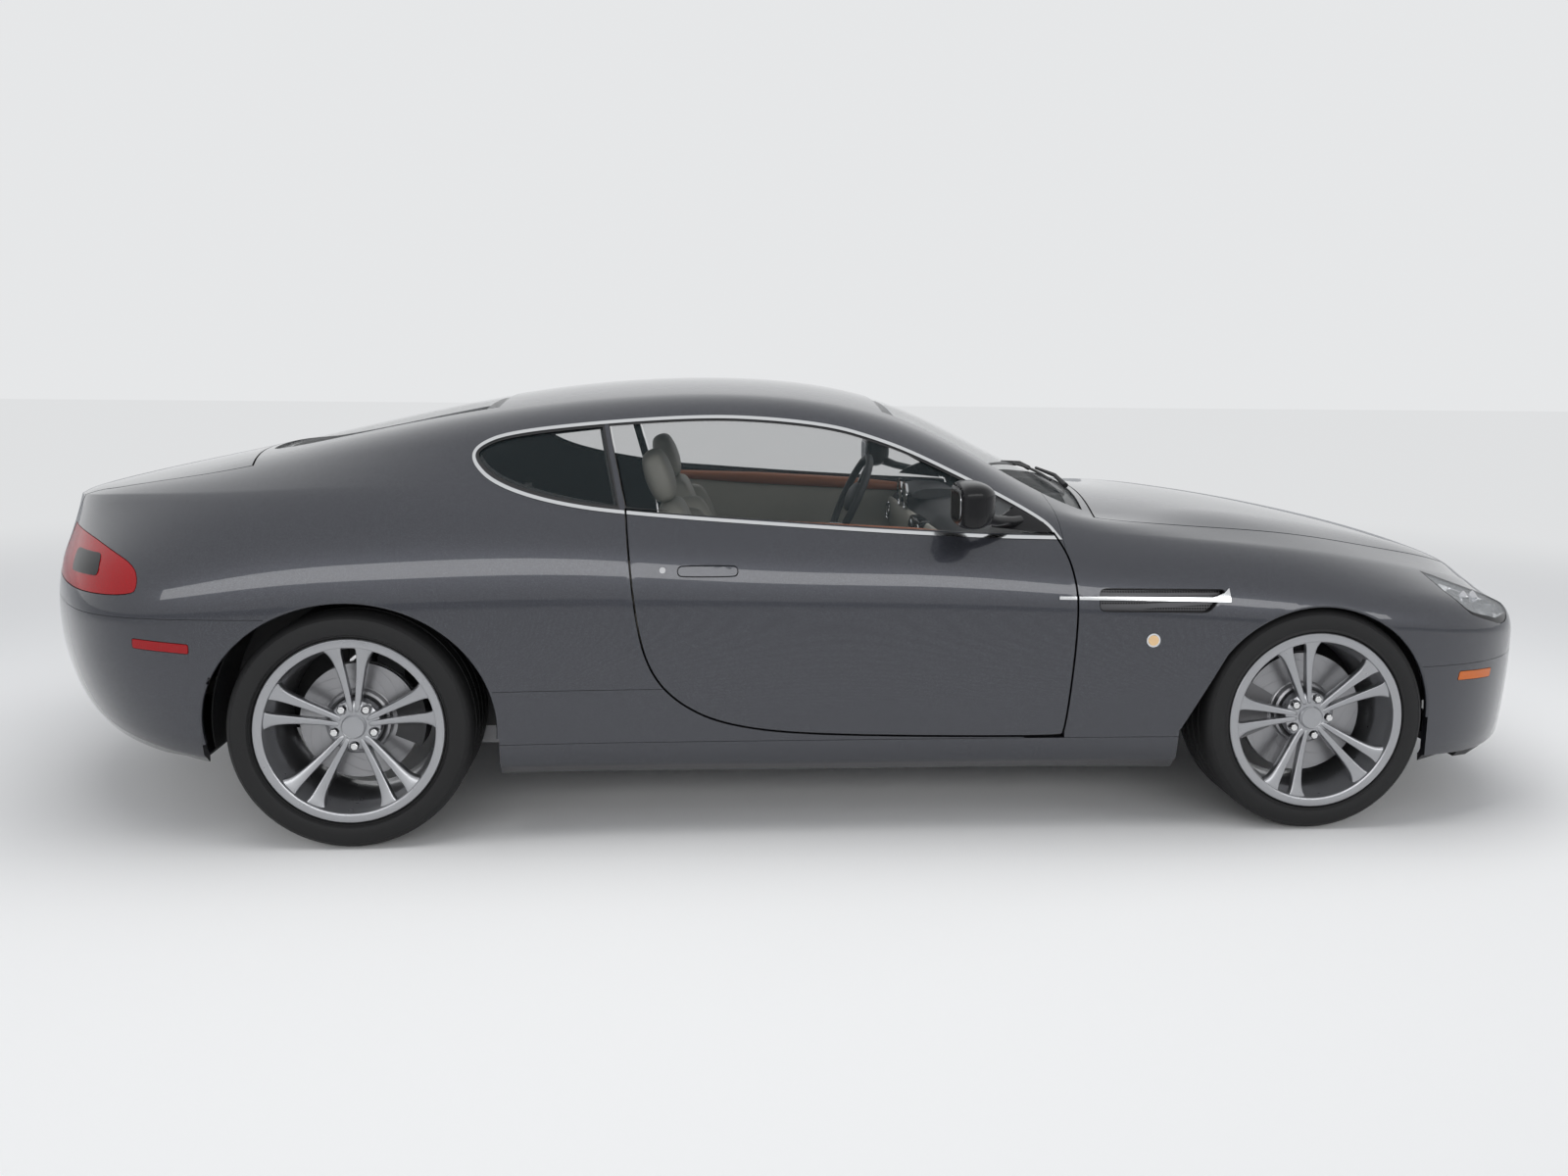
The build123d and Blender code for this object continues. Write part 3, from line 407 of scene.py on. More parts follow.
BOOT_LID = curved(right_half([(-1740, 0), (-1725, 260), (-1648, 560), (-1800, 560), (-2050, 500),
                              (-2150, 420), (-2400, 330)]), corners=(2, 6, 7, 11))
HEADLAMP = curved([(1885, 679), (2000, 668), (2100, 636), (2188, 580), (2205, 612), (2150, 720), (2083, 783),
                   (2000, 822), (1935, 838), (1900, 780)], corners=(0,))
TAIL_LAMP = curved([(-2340, 706), (-1856, 700), (-1838, 740), (-1862, 785), (-1960, 815), (-2080, 838),
                    (-2340, 850)], corners=(0, 6))
INTAKE_LOW, INTAKE_HIGH = 335, 566
INTAKE_FOOT, INTAKE_TOP = 232, 300      # half its width at the bottom and at the top
GRILLE = rounded([(INTAKE_TOP, INTAKE_HIGH), (INTAKE_FOOT, INTAKE_LOW), (-INTAKE_FOOT, INTAKE_LOW),
                  (-INTAKE_TOP, INTAKE_HIGH)], 45, 6)
FRONT_MARKER = rounded([(1905, 437), (1911, 463), (2045, 459), (2040, 433)], 5)
REAR_MARKER = rounded([(-1852, 593), (-1852, 567), (-1696, 555), (-1696, 581)], 6)
VENT = rounded([(802, 722), (1176, 718), (1120, 652), (800, 656)], 20)
REPEATER = (959, 574, 20)
FRONT_FLARE = [(1170, 530), (1054, 308), (1046, 100), (1822, 100), (1812, 330)]
BONNET_LOW, BOOT_LOW, LAMP_LOW = 596, 700, 580
FRONT_SPLIT, REAR_SPLIT = 484, 648
SILL_TOP, SILL_REAR_TOP = 284, 440
PIPE = (470, 372, 45)


def both_lamps(points, low, high, grow=0):
    """Upright prisms over both headlamps; the outline is in plan, on the right."""
    right = prism([(x, -y) for x, y in points], "plan", low, high, grow)
    left = prism([(x, y) for x, y in points], "plan", low, high, grow)
    return [right, left]


def repeater_hole(grow, count=36):
    x, z, radius = REPEATER
    return round_hole(x, z, radius + grow, radius + grow, *PANEL, count)


def arches(which, grow=0):
    tools = []
    for name, (x, _, z, _, _, _, arch_half, arch_high) in AXLES.items():
        if name in which:
            tools.append(round_hole(x, z, arch_half + grow, arch_high + grow, *ARCH_SPAN))
            foot = [(x - arch_half, 100), (x + arch_half, 100), (x + arch_half, z), (x - arch_half, z)]
            tools.append(prism(foot, "side", *ARCH_SPAN, grow))
    if "front" in which:
        tools.append(prism(FRONT_FLARE, "side", *ARCH_SPAN, grow))
    return tools


# ---------------------------------------------------------------- welded body
# Roof, windscreen pillars, rear quarters and tail in one painted shell of pressed panels, welded and
# smoothed at the seams, with the window openings, the boot opening and the rear arches cut out.
shell = cut(copy_of(painted, "shell"), [lining])
welded = copy_of(shell, "body_shell")
keep(welded, slab(BEHIND, SHELL_FRONT, BELOW, ABOVE))
cut(welded, [prism(DOOR, "side", 400, WIDE, GAP), prism(DOOR_WINDOW, "side", *GLAZING, 2),
             prism(QUARTER_WINDOW, "side", *GLAZING, 2), prism(SCREEN, "plan", 900, ABOVE, 2),
             prism(REAR_SCREEN, "plan", 1000, ABOVE, 2), prism(BOOT_LID, "plan", BOOT_LOW - GAP, ABOVE, GAP),
             prism(TAIL_LAMP, "side", *TAIL_SPAN, SEAM)])
cut(welded, arches(("rear",)))
cut(welded, [slab(BEHIND, REAR_X, BELOW, REAR_SPLIT + SEAM), slab(REAR_X, SILL_BACK, BELOW, 300),
             slab(SILL_BACK, SHELL_FRONT, BELOW, SILL_TOP + SEAM), slab(600, SHELL_FRONT, BELOW, 800)])
# the joint with the sill's upturned rear end, on both sides
cut(welded, [box(SILL_BACK, -428, -WIDE, -700, SILL_REAR_TOP, SILL_REAR_TOP + SEAM),
             box(SILL_BACK, -428, 700, WIDE, SILL_REAR_TOP, SILL_REAR_TOP + SEAM)])

# front end
nose = copy_of(shell, "nose")
keep(nose, slab(SHELL_FRONT + SEAM, AHEAD, BELOW, ABOVE))
bonnet = keep(copy_of(nose, "bonnet_skin"), prism(BONNET, "plan", BONNET_LOW, ABOVE))
cut(nose, [prism(DOOR, "side", 400, WIDE, GAP), prism(SCREEN, "plan", 900, ABOVE, 2)])
wings = copy_of(nose, "wing_skins")
cut(wings, [prism(BONNET, "plan", BONNET_LOW - GAP, ABOVE, GAP),
            slab(FRONT_X, AHEAD, BELOW, FRONT_SPLIT + SEAM),
            box(NOSE_STEP, AHEAD, -NOSE_HALF, NOSE_HALF, BELOW, 700),
            slab(700, SILL_FRONT, BELOW, SILL_TOP + SEAM), prism(VENT, "side", *PANEL),
            box(700, 1470, -660, 660, BELOW, BONNET_LOW),
            repeater_hole(1, 32)])
cut(wings, both_lamps(HEADLAMP, LAMP_LOW - 1, 1000, SEAM) + arches(("front",)))
for room in arches(("front",), LIP_REACH):
    cut(wings, [keep(body_mesh("tool lip", LIP * MM), room)])
front_bumper = copy_of(nose, "front_bumper_skin")
keep(front_bumper, slab(FRONT_X, AHEAD, 206 + SEAM, BONNET_LOW - GAP))
cut(front_bumper, [slab(FRONT_X, NOSE_STEP - SEAM, FRONT_SPLIT, 700),
                   box(NOSE_STEP - 2 * SEAM, AHEAD, NOSE_HALF - SEAM, WIDE, FRONT_SPLIT, 700),
                   box(NOSE_STEP - 2 * SEAM, AHEAD, -WIDE, SEAM - NOSE_HALF, FRONT_SPLIT, 700),
                   prism(GRILLE, "front", 2000, 2400), prism(FRONT_MARKER, "side", *PANEL, SEAM)])
cut(front_bumper, arches(("front",)))
sills = copy_of(shell, "sill_skins")
keep(sills, slab(SILL_BACK, SILL_FRONT, BELOW, SILL_TOP))
cut(sills, [prism(DOOR, "side", 400, WIDE, GAP), box(-1960, 1960, -TUB_HALF, TUB_HALF, BELOW, TUB_TOP)])
cut(sills, arches(("front", "rear")))

# tail
rear_bumper = copy_of(shell, "rear_bumper_skin")
keep(rear_bumper, slab(BEHIND, REAR_X, BELOW, REAR_SPLIT))
cut(rear_bumper, [box(BEHIND, -1950, -560 - SEAM, 560 + SEAM, BELOW, 420 + SEAM),
                  box(-1960, -1200, -TUB_HALF, TUB_HALF, BELOW, TUB_TOP),
                  prism(REAR_MARKER, "side", *PANEL, SEAM)] + arches(("rear",)))
boot_skin = keep(copy_of(shell, "boot_lid_skin"), prism(BOOT_LID, "plan", BOOT_LOW, ABOVE))

# doors: an outer skin folded round a frame that stands in from the edge
door_skins = {}
for side in ("right", "left"):
    door = keep(copy_of(painted, "door_skin_" + side), prism(DOOR, "side", 765, WIDE, 0, side))
    hollow = keep(copy_of(lining, "tool hollow"), prism(DOOR, "side", 765, WIDE, 0, side))
    cut(hollow, [prism(DOOR, "side", 764, 1001, -30, side)])
    cut(door, [hollow, prism(DOOR_PANE, "side", 780, 812, 1, side)])
    door_skins[side] = door

for piece in (welded, wings, bonnet, boot_skin, front_bumper, rear_bumper, sills, *door_skins.values()):
    polish(piece)


# ---------------------------------------------------------------- paint and its finish
# Dark grey metallic: aluminium flakes in the base coat under a thick clear lacquer.
class Wire:
    """A value on its way through a material; arithmetic on it adds Math nodes."""

    def __init__(self, tree, socket):
        self.tree, self.socket = tree, socket

    def math(self, operation, a, b):
        node = self.tree.nodes.new("ShaderNodeMath")
        node.operation = operation
        for slot, value in zip(node.inputs, (a, b)):
            if isinstance(value, Wire):
                self.tree.links.new(value.socket, slot)
            else:
                slot.default_value = value
        return Wire(self.tree, node.outputs[0])

    def __add__(self, other): return self.math("ADD", self, other)
    def __radd__(self, other): return self.math("ADD", other, self)
    def __mul__(self, other): return self.math("MULTIPLY", self, other)
    def __gt__(self, other): return self.math("GREATER_THAN", self, other)
    def __lt__(self, other): return self.math("LESS_THAN", self, other)


class Finish:
    """A material being mixed: plain numbers go straight on the shader, the rest through nodes."""

    def __init__(self, name, colour, roughness, metallic=0.0, slot="black_plastic", **sockets):
        self.slot = slot
        self.material = bpy.data.materials.new(name)
        self.material.use_nodes = True
        self.tree = self.material.node_tree
        self.shader = self.tree.nodes["Principled BSDF"]
        self.shader.inputs["Base Color"].default_value = (*colour, 1)
        self.shader.inputs["Roughness"].default_value = roughness
        self.shader.inputs["Metallic"].default_value = metallic
        for key, value in sockets.items():
            self.shader.inputs[key.replace("_", " ")].default_value = value

    def node(self, kind, settings=None, output=0, **values):
        made = self.tree.nodes.new("ShaderNode" + kind)
        for key, value in (settings or {}).items():
            setattr(made, key, value)
        for key, value in values.items():
            slot = made.inputs[int(key[1:]) if key[1:].isdigit() else key.replace("_", " ")]
            if isinstance(value, Wire):
                self.tree.links.new(value.socket, slot)
            else:
                slot.default_value = value
        return Wire(self.tree, made.outputs[output])

    def place(self):
        return self.node("TexCoord", output=3)

    def round(self, output=0):
        """How far round (0) or across (1) a turned piece the point lies."""
        return self.node("SeparateXYZ", output=output, Vector=self.node("UVMap", {"uv_map": "round"}))

    def noise(self, scale, detail=2.0, rough=0.5):
        return self.node("TexNoise", Vector=self.place(), Scale=scale, Detail=detail, Roughness=rough)

    def colours(self, amount, first, second):
        self.feed("Base Color", self.node("Mix", {"data_type": "RGBA"}, output=2, i0=amount, i6=(*first, 1),
                                          i7=(*second, 1)))

    def feed(self, socket, wire):
        self.tree.links.new(wire.socket, self.shader.inputs[socket])

    def uneven(self, base, span, scale, detail):
        """Roughness that wanders above a base value."""
        self.feed("Roughness", base + self.noise(scale, detail) * span)

    def bump(self, height, strength, distance):
        self.feed("Normal", self.node("Bump", Height=height, Strength=strength, Distance=distance))


def coat(piece, finish):
    piece.data.materials.clear()
    piece.data.materials.append(finish.material)


def dress(pieces, finish, body="car_body", slot=None):
    """Gives pieces their material and the body they ride on; the slot is not used."""
    for piece in pieces:
        coat(piece, finish)
        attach(piece, body)
        slot or finish.slot


paint = Finish("dark grey metallic paint", (0.036, 0.038, 0.047), 0.34, 0.75, slot="paint",
               Coat_Weight=1.0, Coat_Roughness=0.025)
flake = paint.noise(1500.0, 1.0)
paint.colours((flake > 0.64) * 0.6, (0.034, 0.036, 0.045), (0.2, 0.21, 0.24))
paint.uneven(0.32, 0.06, 7.0, 3.0)

dress([welded, sills, wings, front_bumper, rear_bumper], paint)
dress([bonnet], paint, "bonnet")
dress([boot_skin], paint, "boot_lid")
for side, door in door_skins.items():
    dress([door], paint, "door_" + side)
    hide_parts("door_" + side)
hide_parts("roof_panel", "pillar_frame", "rear_quarters")
for piece, node in ((sills, "sills"), (wings, "front_wings"), (front_bumper, "front_bumper"),
                    (rear_bumper, "rear_bumper"), (bonnet, "bonnet"), (boot_skin, "boot_lid")):
    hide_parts(node)


# ---------------------------------------------------------------- windows
# Laminated screen and tempered side and rear panes, a little green-grey, bonded 4 mm under the
# paint line; black ceramic borders hide the glue.
def sheet_between(name, top, under):
    """A closed sheet that follows the body between two depths in millimetres."""
    return cut(body_mesh(name, top * MM), [body_mesh("tool under", under * MM)])


glass = Finish("tinted glass", (0.03, 0.045, 0.05), 0.012, slot="window_glass", IOR=1.6, Alpha=0.13)
black_edge = Finish("black ceramic edge", (0.008, 0.008, 0.009), 0.25)
pane_sheet = sheet_between("pane sheet", 4, 9)
edge_sheet = sheet_between("edge sheet", 9.1, 9.7)      # the borders lie just under the glass


def pane(name, tool_of, sheet=pane_sheet, clearance=-1.0, hole=None):
    piece = keep(copy_of(sheet, name), tool_of(clearance))
    if hole is not None:
        cut(piece, [tool_of(hole)])
    polish(piece, TRIM_DEPTH)
    return piece


SHAPES = {
    "windscreen": lambda grow: prism(SCREEN, "plan", 900, 1400, grow),
    "rear_screen": lambda grow: prism(REAR_SCREEN, "plan", 1000, 1400, grow),
    "quarter_panes": lambda grow: prism(QUARTER_WINDOW, "side", *GLAZING, grow),
}
panes = {name: pane(name, tool) for name, tool in SHAPES.items()}
borders = [pane(name + "_border", SHAPES[name], edge_sheet, -1.0, hole)
           for name, hole in (("windscreen", -42), ("rear_screen", -48), ("quarter_panes", -13))]
dress(panes.values(), glass)
dress(borders, black_edge)
for side in ("right", "left"):
    door_pane = pane("door_pane_" + side, lambda grow: prism(DOOR_PANE, "side", *GLAZING, grow - 3, side))
    dress([door_pane], glass, "door_" + side)
    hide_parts("door_glass_" + side)
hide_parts("windscreen")
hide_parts("rear_glass")

# ---------------------------------------------------------------- bright surround, seals and divider
# A polished strip runs round both side windows and over the door's top edge; a black rubber seal
# lies between it and the glass, and a black post divides door and quarter glass.
bright = Finish("polished trim", (0.72, 0.73, 0.74), 0.12, 1.0, slot="bright_metal")
rubber = Finish("black rubber", (0.012, 0.012, 0.013), 0.55)
rubber.bump(rubber.noise(420.0, 2.0), 0.25, 0.0004)
trim_sheet = sheet_between("trim sheet", -2.2, 5)
seal_sheet = sheet_between("seal sheet", 0.6, 9)


def strip(name, sheet, outer, inner):
    piece = keep(copy_of(sheet, name), prism(SIDE_GLASS, "side", *GLAZING, outer))
    return cut(piece, [prism(SIDE_GLASS, "side", *GLAZING, inner)])


surround = strip("window_surround", trim_sheet, 12, 3)
seal = strip("window_seal", seal_sheet, 2.9, -5)
for sheet_piece, finish in ((surround, bright), (seal, rubber)):
    on_doors = copy_of(sheet_piece, sheet_piece.name + "_door")
    cut(sheet_piece, [prism(DOOR, "side", *GLAZING, GAP)])
    polish(sheet_piece, TRIM_DEPTH)
    dress([sheet_piece], finish)
    for side in ("right", "left"):
        belt = copy_of(on_doors, sheet_piece.name + "_door_" + side)
        keep(belt, prism(DOOR, "side", *GLAZING, 0, side))
        polish(belt, TRIM_DEPTH)
        dress([belt], finish, "door_" + side)
    bpy.data.objects.remove(on_doors)
DIVIDER = [(-541, 936), (-560, 934), (-618, 1170), (-598, 1172)]
divider = keep(copy_of(seal_sheet, "window_divider"), prism(DIVIDER, "side", *GLAZING))
polish(divider, TRIM_DEPTH)
dress([divider], rubber)


# ---------------------------------------------------------------- wheels and tyres
# Cast and lacquered 19-inch wheels with five split spokes, on low tyres.  The rim and tyre are
# turned round the axle from their profiles, and one spoke bar is drawn, smoothed and repeated.
RIM_R, BEAD_R = 258.6, 241
MOUNT_OUT, PAD_OUT = 44, 84     # wheel seat and front of its centre, outboard of the rim's middle
HUB_LINE = [(0, 80), (30, 80), (44, 79), (60, 76), (70, 70), (74, 62), (74, MOUNT_OUT), (0, MOUNT_OUT)]
CAP_LINE = [(0, 92), (20, 91.4), (30, 89.6), (31, 88), (32, 88.6), (34, 86.5), (34, 78), (0, 78)]
BOLT_R = 57.15                  # the five nuts stand on this radius
TREAD_BLOCKS = 84.0             # round the tyre
TREAD_SPAN = 0.26, 0.66         # the part of the tyre's profile that carries them
FRONT_TURN = 15                 # how far the front wheels stand turned round
alloy = Finish("silver lacquered alloy", (0.36, 0.365, 0.38), 0.27, 0.9, slot="wheel_alloy",
               Coat_Weight=0.5, Coat_Roughness=0.06)
alloy.uneven(0.25, 0.08, 60.0, 3.0)
tyre_rubber = Finish("tyre rubber", (0.008, 0.008, 0.0085), 0.6, slot="tyre_rubber", Specular_IOR_Level=0.35)
chromed = Finish("chromed nut", (0.7, 0.7, 0.7), 0.13, 1.0, slot="bright_metal")


def turned(name, profile, centre, steps=96, out=-1, closed=True):
    """Lathe work: a profile of radius and outboard offset, spun round the axle; u runs round it."""
    x, y, z = centre
    shape = bmesh.new()
    rings = []
    for k in range(steps):
        angle = 2 * pi * k / steps
        ring = [(x + r * sin(angle), y + w * out, z + r * cos(angle)) for r, w in profile]
        rings.append([shape.verts.new([v * MM for v in point]) for point in ring])
    uv = shape.loops.layers.uv.new("round")
    count = len(profile)
    for k in range(steps):
        for j in range(count if closed else count - 1):
            corners = ((k, j), (k, (j + 1) % count), ((k + 1) % steps, (j + 1) % count), ((k + 1) % steps, j))
            face = shape.faces.new([rings[a][b] for a, b in corners])
            for loop, (a, b) in zip(face.loops, ((k, j), (k, j + 1), (k + 1, j + 1), (k + 1, j))):
                loop[uv].uv = (a / steps, b / count)
    bmesh.ops.remove_doubles(shape, verts=shape.verts, dist=1e-6)
    piece = finished(shape, name)
    soften(piece)
    return piece


def refine(piece, kind, **settings):
    """One modifier, set and applied."""
    bpy.context.view_layer.objects.active = piece
    work = piece.modifiers.new(kind.lower(), kind)
    for key, value in settings.items():
        setattr(work, key, value)
    bpy.ops.object.modifier_apply(modifier=work.name)
    return piece


def joined(name, pieces):
    bpy.ops.object.select_all(action="DESELECT")
    for piece in pieces:
        piece.select_set(True)
    bpy.context.view_layer.objects.active = pieces[0]
    bpy.ops.object.join()
    pieces[0].name = pieces[0].data.name = name
    pieces[0].select_set(False)
    return pieces[0]


def spoke_bar(name, rim, side):
    """One bar of a split spoke, pointing up: rounded sections from the centre out to the rim."""
    face = rim / 2 + 9
    shape = bmesh.new()
    rows = []
    for r, inner, outer in ((34, 0.8, 15), (60, 2.5, 20), (95, 6.5, 26), (130, 11, 33), (165, 15, 41),
                            (195, 18, 50), (214, 20, 62), (229, 19, 82), (241, 13, 104)):
        share = min(1, max(0, (r - 55) / 180))
        front = PAD_OUT - 2 + (face - 4 - PAD_OUT) * (0.35 * share + 0.65 * share * share)
        back = MOUNT_OUT + 4 + (face - 40 - MOUNT_OUT) * share
        lean = 0.2 * (outer - inner)
        ring = [(inner, back), (inner - 0.5, front - 9), (inner + 0.4, front - 1.5), (inner + 2.5, front),
                (outer - lean - 1, front - 0.5), (outer - 1, front - 3.5), (outer + 1, front - 14),
                (outer, back)]
        rows.append([shape.verts.new((side * u, w, r)) for u, w in ring])
    for a, b in zip(rows, rows[1:]):
        for j in range(len(a)):
            k = (j + 1) % len(a)
            shape.faces.new((a[j], a[k], b[k], b[j]))
    shape.faces.new(rows[0])
    shape.faces.new(rows[-1])
    return refine(finished(shape, name), "SUBSURF", levels=2, render_levels=2)


def set_in_place(piece, centre, out, angle=0.0):
    """Moves a piece drawn round the origin, outboard along +y, to its wheel, turned by angle degrees."""
    turn = Matrix.Rotation(radians(angle), 4, "Y")
    flip = Matrix.Diagonal((1, out, 1, 1))
    piece.data.transform(Matrix.Translation(Vector(centre) * MM) @ turn @ Matrix.Scale(MM, 4) @ flip)
    if out < 0:
        piece.data.flip_normals()
    return piece


def half_profile(points):
    return points + [(r, -w) for r, w in reversed(points)]


for axle, (x, wheel_y, z, width, rim, *_) in AXLES.items():
    face, wide = rim / 2 + 9, width / 2
    bead = rim / 2 - 1
    rim_line = [(233, face - 3), (236, face - 0.6), (240, face), (252, face), (256, face - 0.6),
                (258.4, face - 3), (258.6, face - 8.6), (256, face - 9), (BEAD_R, rim / 2),
                (BEAD_R, rim / 2 - 18), (BEAD_R - 9, rim / 2 - 27), (BEAD_R - 18, 0),
                (BEAD_R - 18, -rim / 2 + 48), (BEAD_R, -rim / 2 + 18), (BEAD_R, -rim / 2), (258.4, -face + 6),
                (258.4, -face + 1), (254, -face), (236, -face), (231, -rim / 2 + 16), (213, -rim / 2 + 46),
                (213, 0), (221, rim / 2 - 34), (227, rim / 2 - 24), (230, face - 16)]
    tread = [(z - 0.3, wide - 36), (z, wide - 44)]
    for groove in (0.52 * wide, 0.17 * wide):
        tread += [(z, groove + 5), (z - 7, groove + 4), (z - 7, groove - 4), (z, groove - 5)]
    tyre_line = half_profile([(BEAD_R + 0.3, bead - 14), (BEAD_R + 0.3, bead), (RIM_R + 2, bead + 0.6),
                              (RIM_R + 4, bead + 7), (RIM_R + 6.5, bead + 10), (RIM_R + 9, bead + 9),
                              (RIM_R + 13, wide - 3), (RIM_R + 22, wide - 0.3), (RIM_R + 32, wide),
                              (RIM_R + 42, wide - 1.2), (z - 19, wide - 4.2), (z - 18, wide - 3.4),
                              (z - 12, wide - 8), (z - 6.5, wide - 15), (z - 2.6, wide - 24)] + tread)
    tyre_line += [(BEAD_R + 0.3, -bead + 14), (RIM_R + 10, -bead + 16), (z - 16, -wide + 30),
                  (z - 16, wide - 30), (RIM_R + 10, bead - 16)]
    for side, out in SIDES:
        centre = (x, wheel_y * out, z)
        corner = "_%s_%s" % (axle, side)
        body = "wheel" + corner
        turn = FRONT_TURN * out if axle == "front" else 0
        bars = []
        for pair in range(5):
            for half_side in (-1, 1):
                bars.append(set_in_place(spoke_bar("bar", rim, half_side), centre, out, 72 * pair + turn))
        hub = turned("hub", HUB_LINE, centre, 60, out, closed=False)
        pockets, nuts = [], []
        for k in range(5):
            angle = radians(72 * k + 36 + turn)
            for made, count, r, depth, spin, at in ((pockets, 28, 15, 30, 0, 73), (nuts, 6, 11, 34, 0.3, 68)):
                place = (x + BOLT_R * sin(angle), centre[1] + at * out, z + BOLT_R * cos(angle))
                bpy.ops.mesh.primitive_cylinder_add(
                    vertices=count, radius=r * MM, depth=depth * MM, rotation=(pi / 2, spin, 0),
                    location=[v * MM for v in place])
                bpy.ops.object.transform_apply()
                made.append(bpy.context.object)
            pockets[-1].name = "tool pocket"
            refine(nuts[-1], "BEVEL", width=2.2 * MM, segments=3)
        cut(hub, pockets)
        cap = turned("cap", CAP_LINE, centre, 60, out, closed=False)
        wheel = joined("wheel_casting" + corner, [turned("rim", rim_line, centre, 120, out), hub, cap, *bars])
        soften(wheel, 38)
        nuts = joined("wheel_nuts" + corner, nuts)
        soften(nuts)
        tyre = turned("tyre_casing" + corner, tyre_line, centre, 120, out)
        dress([wheel], alloy, body)
        dress([nuts], chromed, body)
        dress([tyre], tyre_rubber, body)
        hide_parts(body)
        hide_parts("tyre" + corner)

lines = tyre_rubber.node("Math", {"operation": "PINGPONG"}, i0=tyre_rubber.round() * TREAD_BLOCKS, i1=0.5)
row_mark = tyre_rubber.round(1)
on_tread = (row_mark > TREAD_SPAN[0]) * (row_mark < TREAD_SPAN[1])
tyre_rubber.bump((lines > 0.1) * on_tread + tyre_rubber.noise(300.0, 2.0) * 0.1, 1.0, 0.004)

# ---------------------------------------------------------------- brakes
# Vented iron discs with slotted faces, bolted to the wheels by their hats; the calipers and carriers
# behind them are the frame's own solids.
disc_iron = Finish("machined iron", (0.3, 0.3, 0.31), 0.34, 0.9, slot="disc_iron")
lean = disc_iron.round() * 10.0 + disc_iron.round(1) * 6.0
slots = disc_iron.node("Math", {"operation": "PINGPONG"}, i0=lean, i1=0.5)
disc_iron.bump((slots > 0.035) * 1.0 + disc_iron.noise(240.0, 2.0) * 0.05, 0.7, 0.001)
for axle, (x, wheel_y, z, _, _, disc_r, *_) in AXLES.items():
    for side, out in SIDES:
        front, back = MOUNT_OUT - 22, MOUNT_OUT - 54
        steps = [(disc_r - (disc_r - 96) * k / 8, front) for k in range(9)]
        line = [(disc_r, front - 12), (disc_r - 14, front - 12.5), (disc_r - 14, back + 12.5),
                (disc_r, back + 12), (disc_r, back), (88, back), (88, back - 8), (60, back - 8),
                (60, front + 8), (84, front + 21.7), (90, front + 18), (93, front + 2)] + steps[::-1]
        disc = turned("disc_%s_%s" % (axle, side), line, (x, wheel_y * out, z), 90, out)
        dress([disc], disc_iron, "wheel_%s_%s" % (axle, side))
        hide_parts("brake_disc_%s_%s" % (axle, side))


# ---------------------------------------------------------------- lamps
# Headlamps: a clear cover flush with the wing over a black housing with two projectors and a bright
# inner rim.  Tail lamps and markers are moulded covers, red or amber, over dark housings.
def layer(name, top, under, tool, finish=None, body="car_body"):
    """The part of a sheet between two depths that lies inside the tool, dressed if a finish is given."""
    sheet = keep(sheet_between(name, top, under), tool)
    polish(sheet, abs(top) * MM + 0.003)
    if finish:
        dress([sheet], finish, body)
    return sheet


def lamp_prism(grow):
    tool = both_lamps(HEADLAMP, LAMP_LOW, 1000, grow)
    return joined("tool lamps", tool)


def rod(name, path, radius, vertices, finish=None, body="car_body"):
    """A round bar along a path in millimetres."""
    shape = bmesh.new()
    rows = []
    points = [Vector(p) for p in path]
    for i, p in enumerate(points):
        along = (points[min(i + 1, len(points) - 1)] - points[max(i - 1, 0)]).normalized()
        across = along.cross(Vector((0, 0, 1)) if abs(along.z) < 0.9 else Vector((1, 0, 0))).normalized()
        other = along.cross(across)
        size = radius[i] if isinstance(radius, (list, tuple)) else radius
        rows.append([shape.verts.new((p + (across * cos(t) + other * sin(t)) * size) * MM)
                     for t in [2 * pi * k / vertices for k in range(vertices)]])
    for a, b in zip(rows, rows[1:]):
        for k in range(vertices):
            shape.faces.new((a[k], a[(k + 1) % vertices], b[(k + 1) % vertices], b[k]))
    shape.faces.new(rows[0])
    shape.faces.new(rows[-1])
    piece = finished(shape, name)
    soften(piece, 40)
    if finish:
        dress([piece], finish, body)
    return piece


def block(name, low, high, round_by=0.0, segments=3, finish=None, body="car_body"):
    """A cuboid between two corners in millimetres, its edges rounded."""
    low, high = Vector(low), Vector(high)
    bpy.ops.mesh.primitive_cube_add(size=1, location=(low + high) / 2 * MM, scale=(high - low) * MM)
    piece = bpy.context.object
    bpy.ops.object.transform_apply()
    piece.name = piece.data.name = name
    if round_by:
        refine(piece, "BEVEL", width=round_by * MM, segments=segments)
    soften(piece, 35)
    if finish:
        dress([piece], finish, body)
    return piece


def mirrored(piece, name):
    """The same piece on the other side of the car."""
    twin = copy_of(piece, name)
    twin.data.transform(Matrix.Diagonal((1, -1, 1, 1)))
    twin.data.flip_normals()
    soften(twin, 35)
    return twin


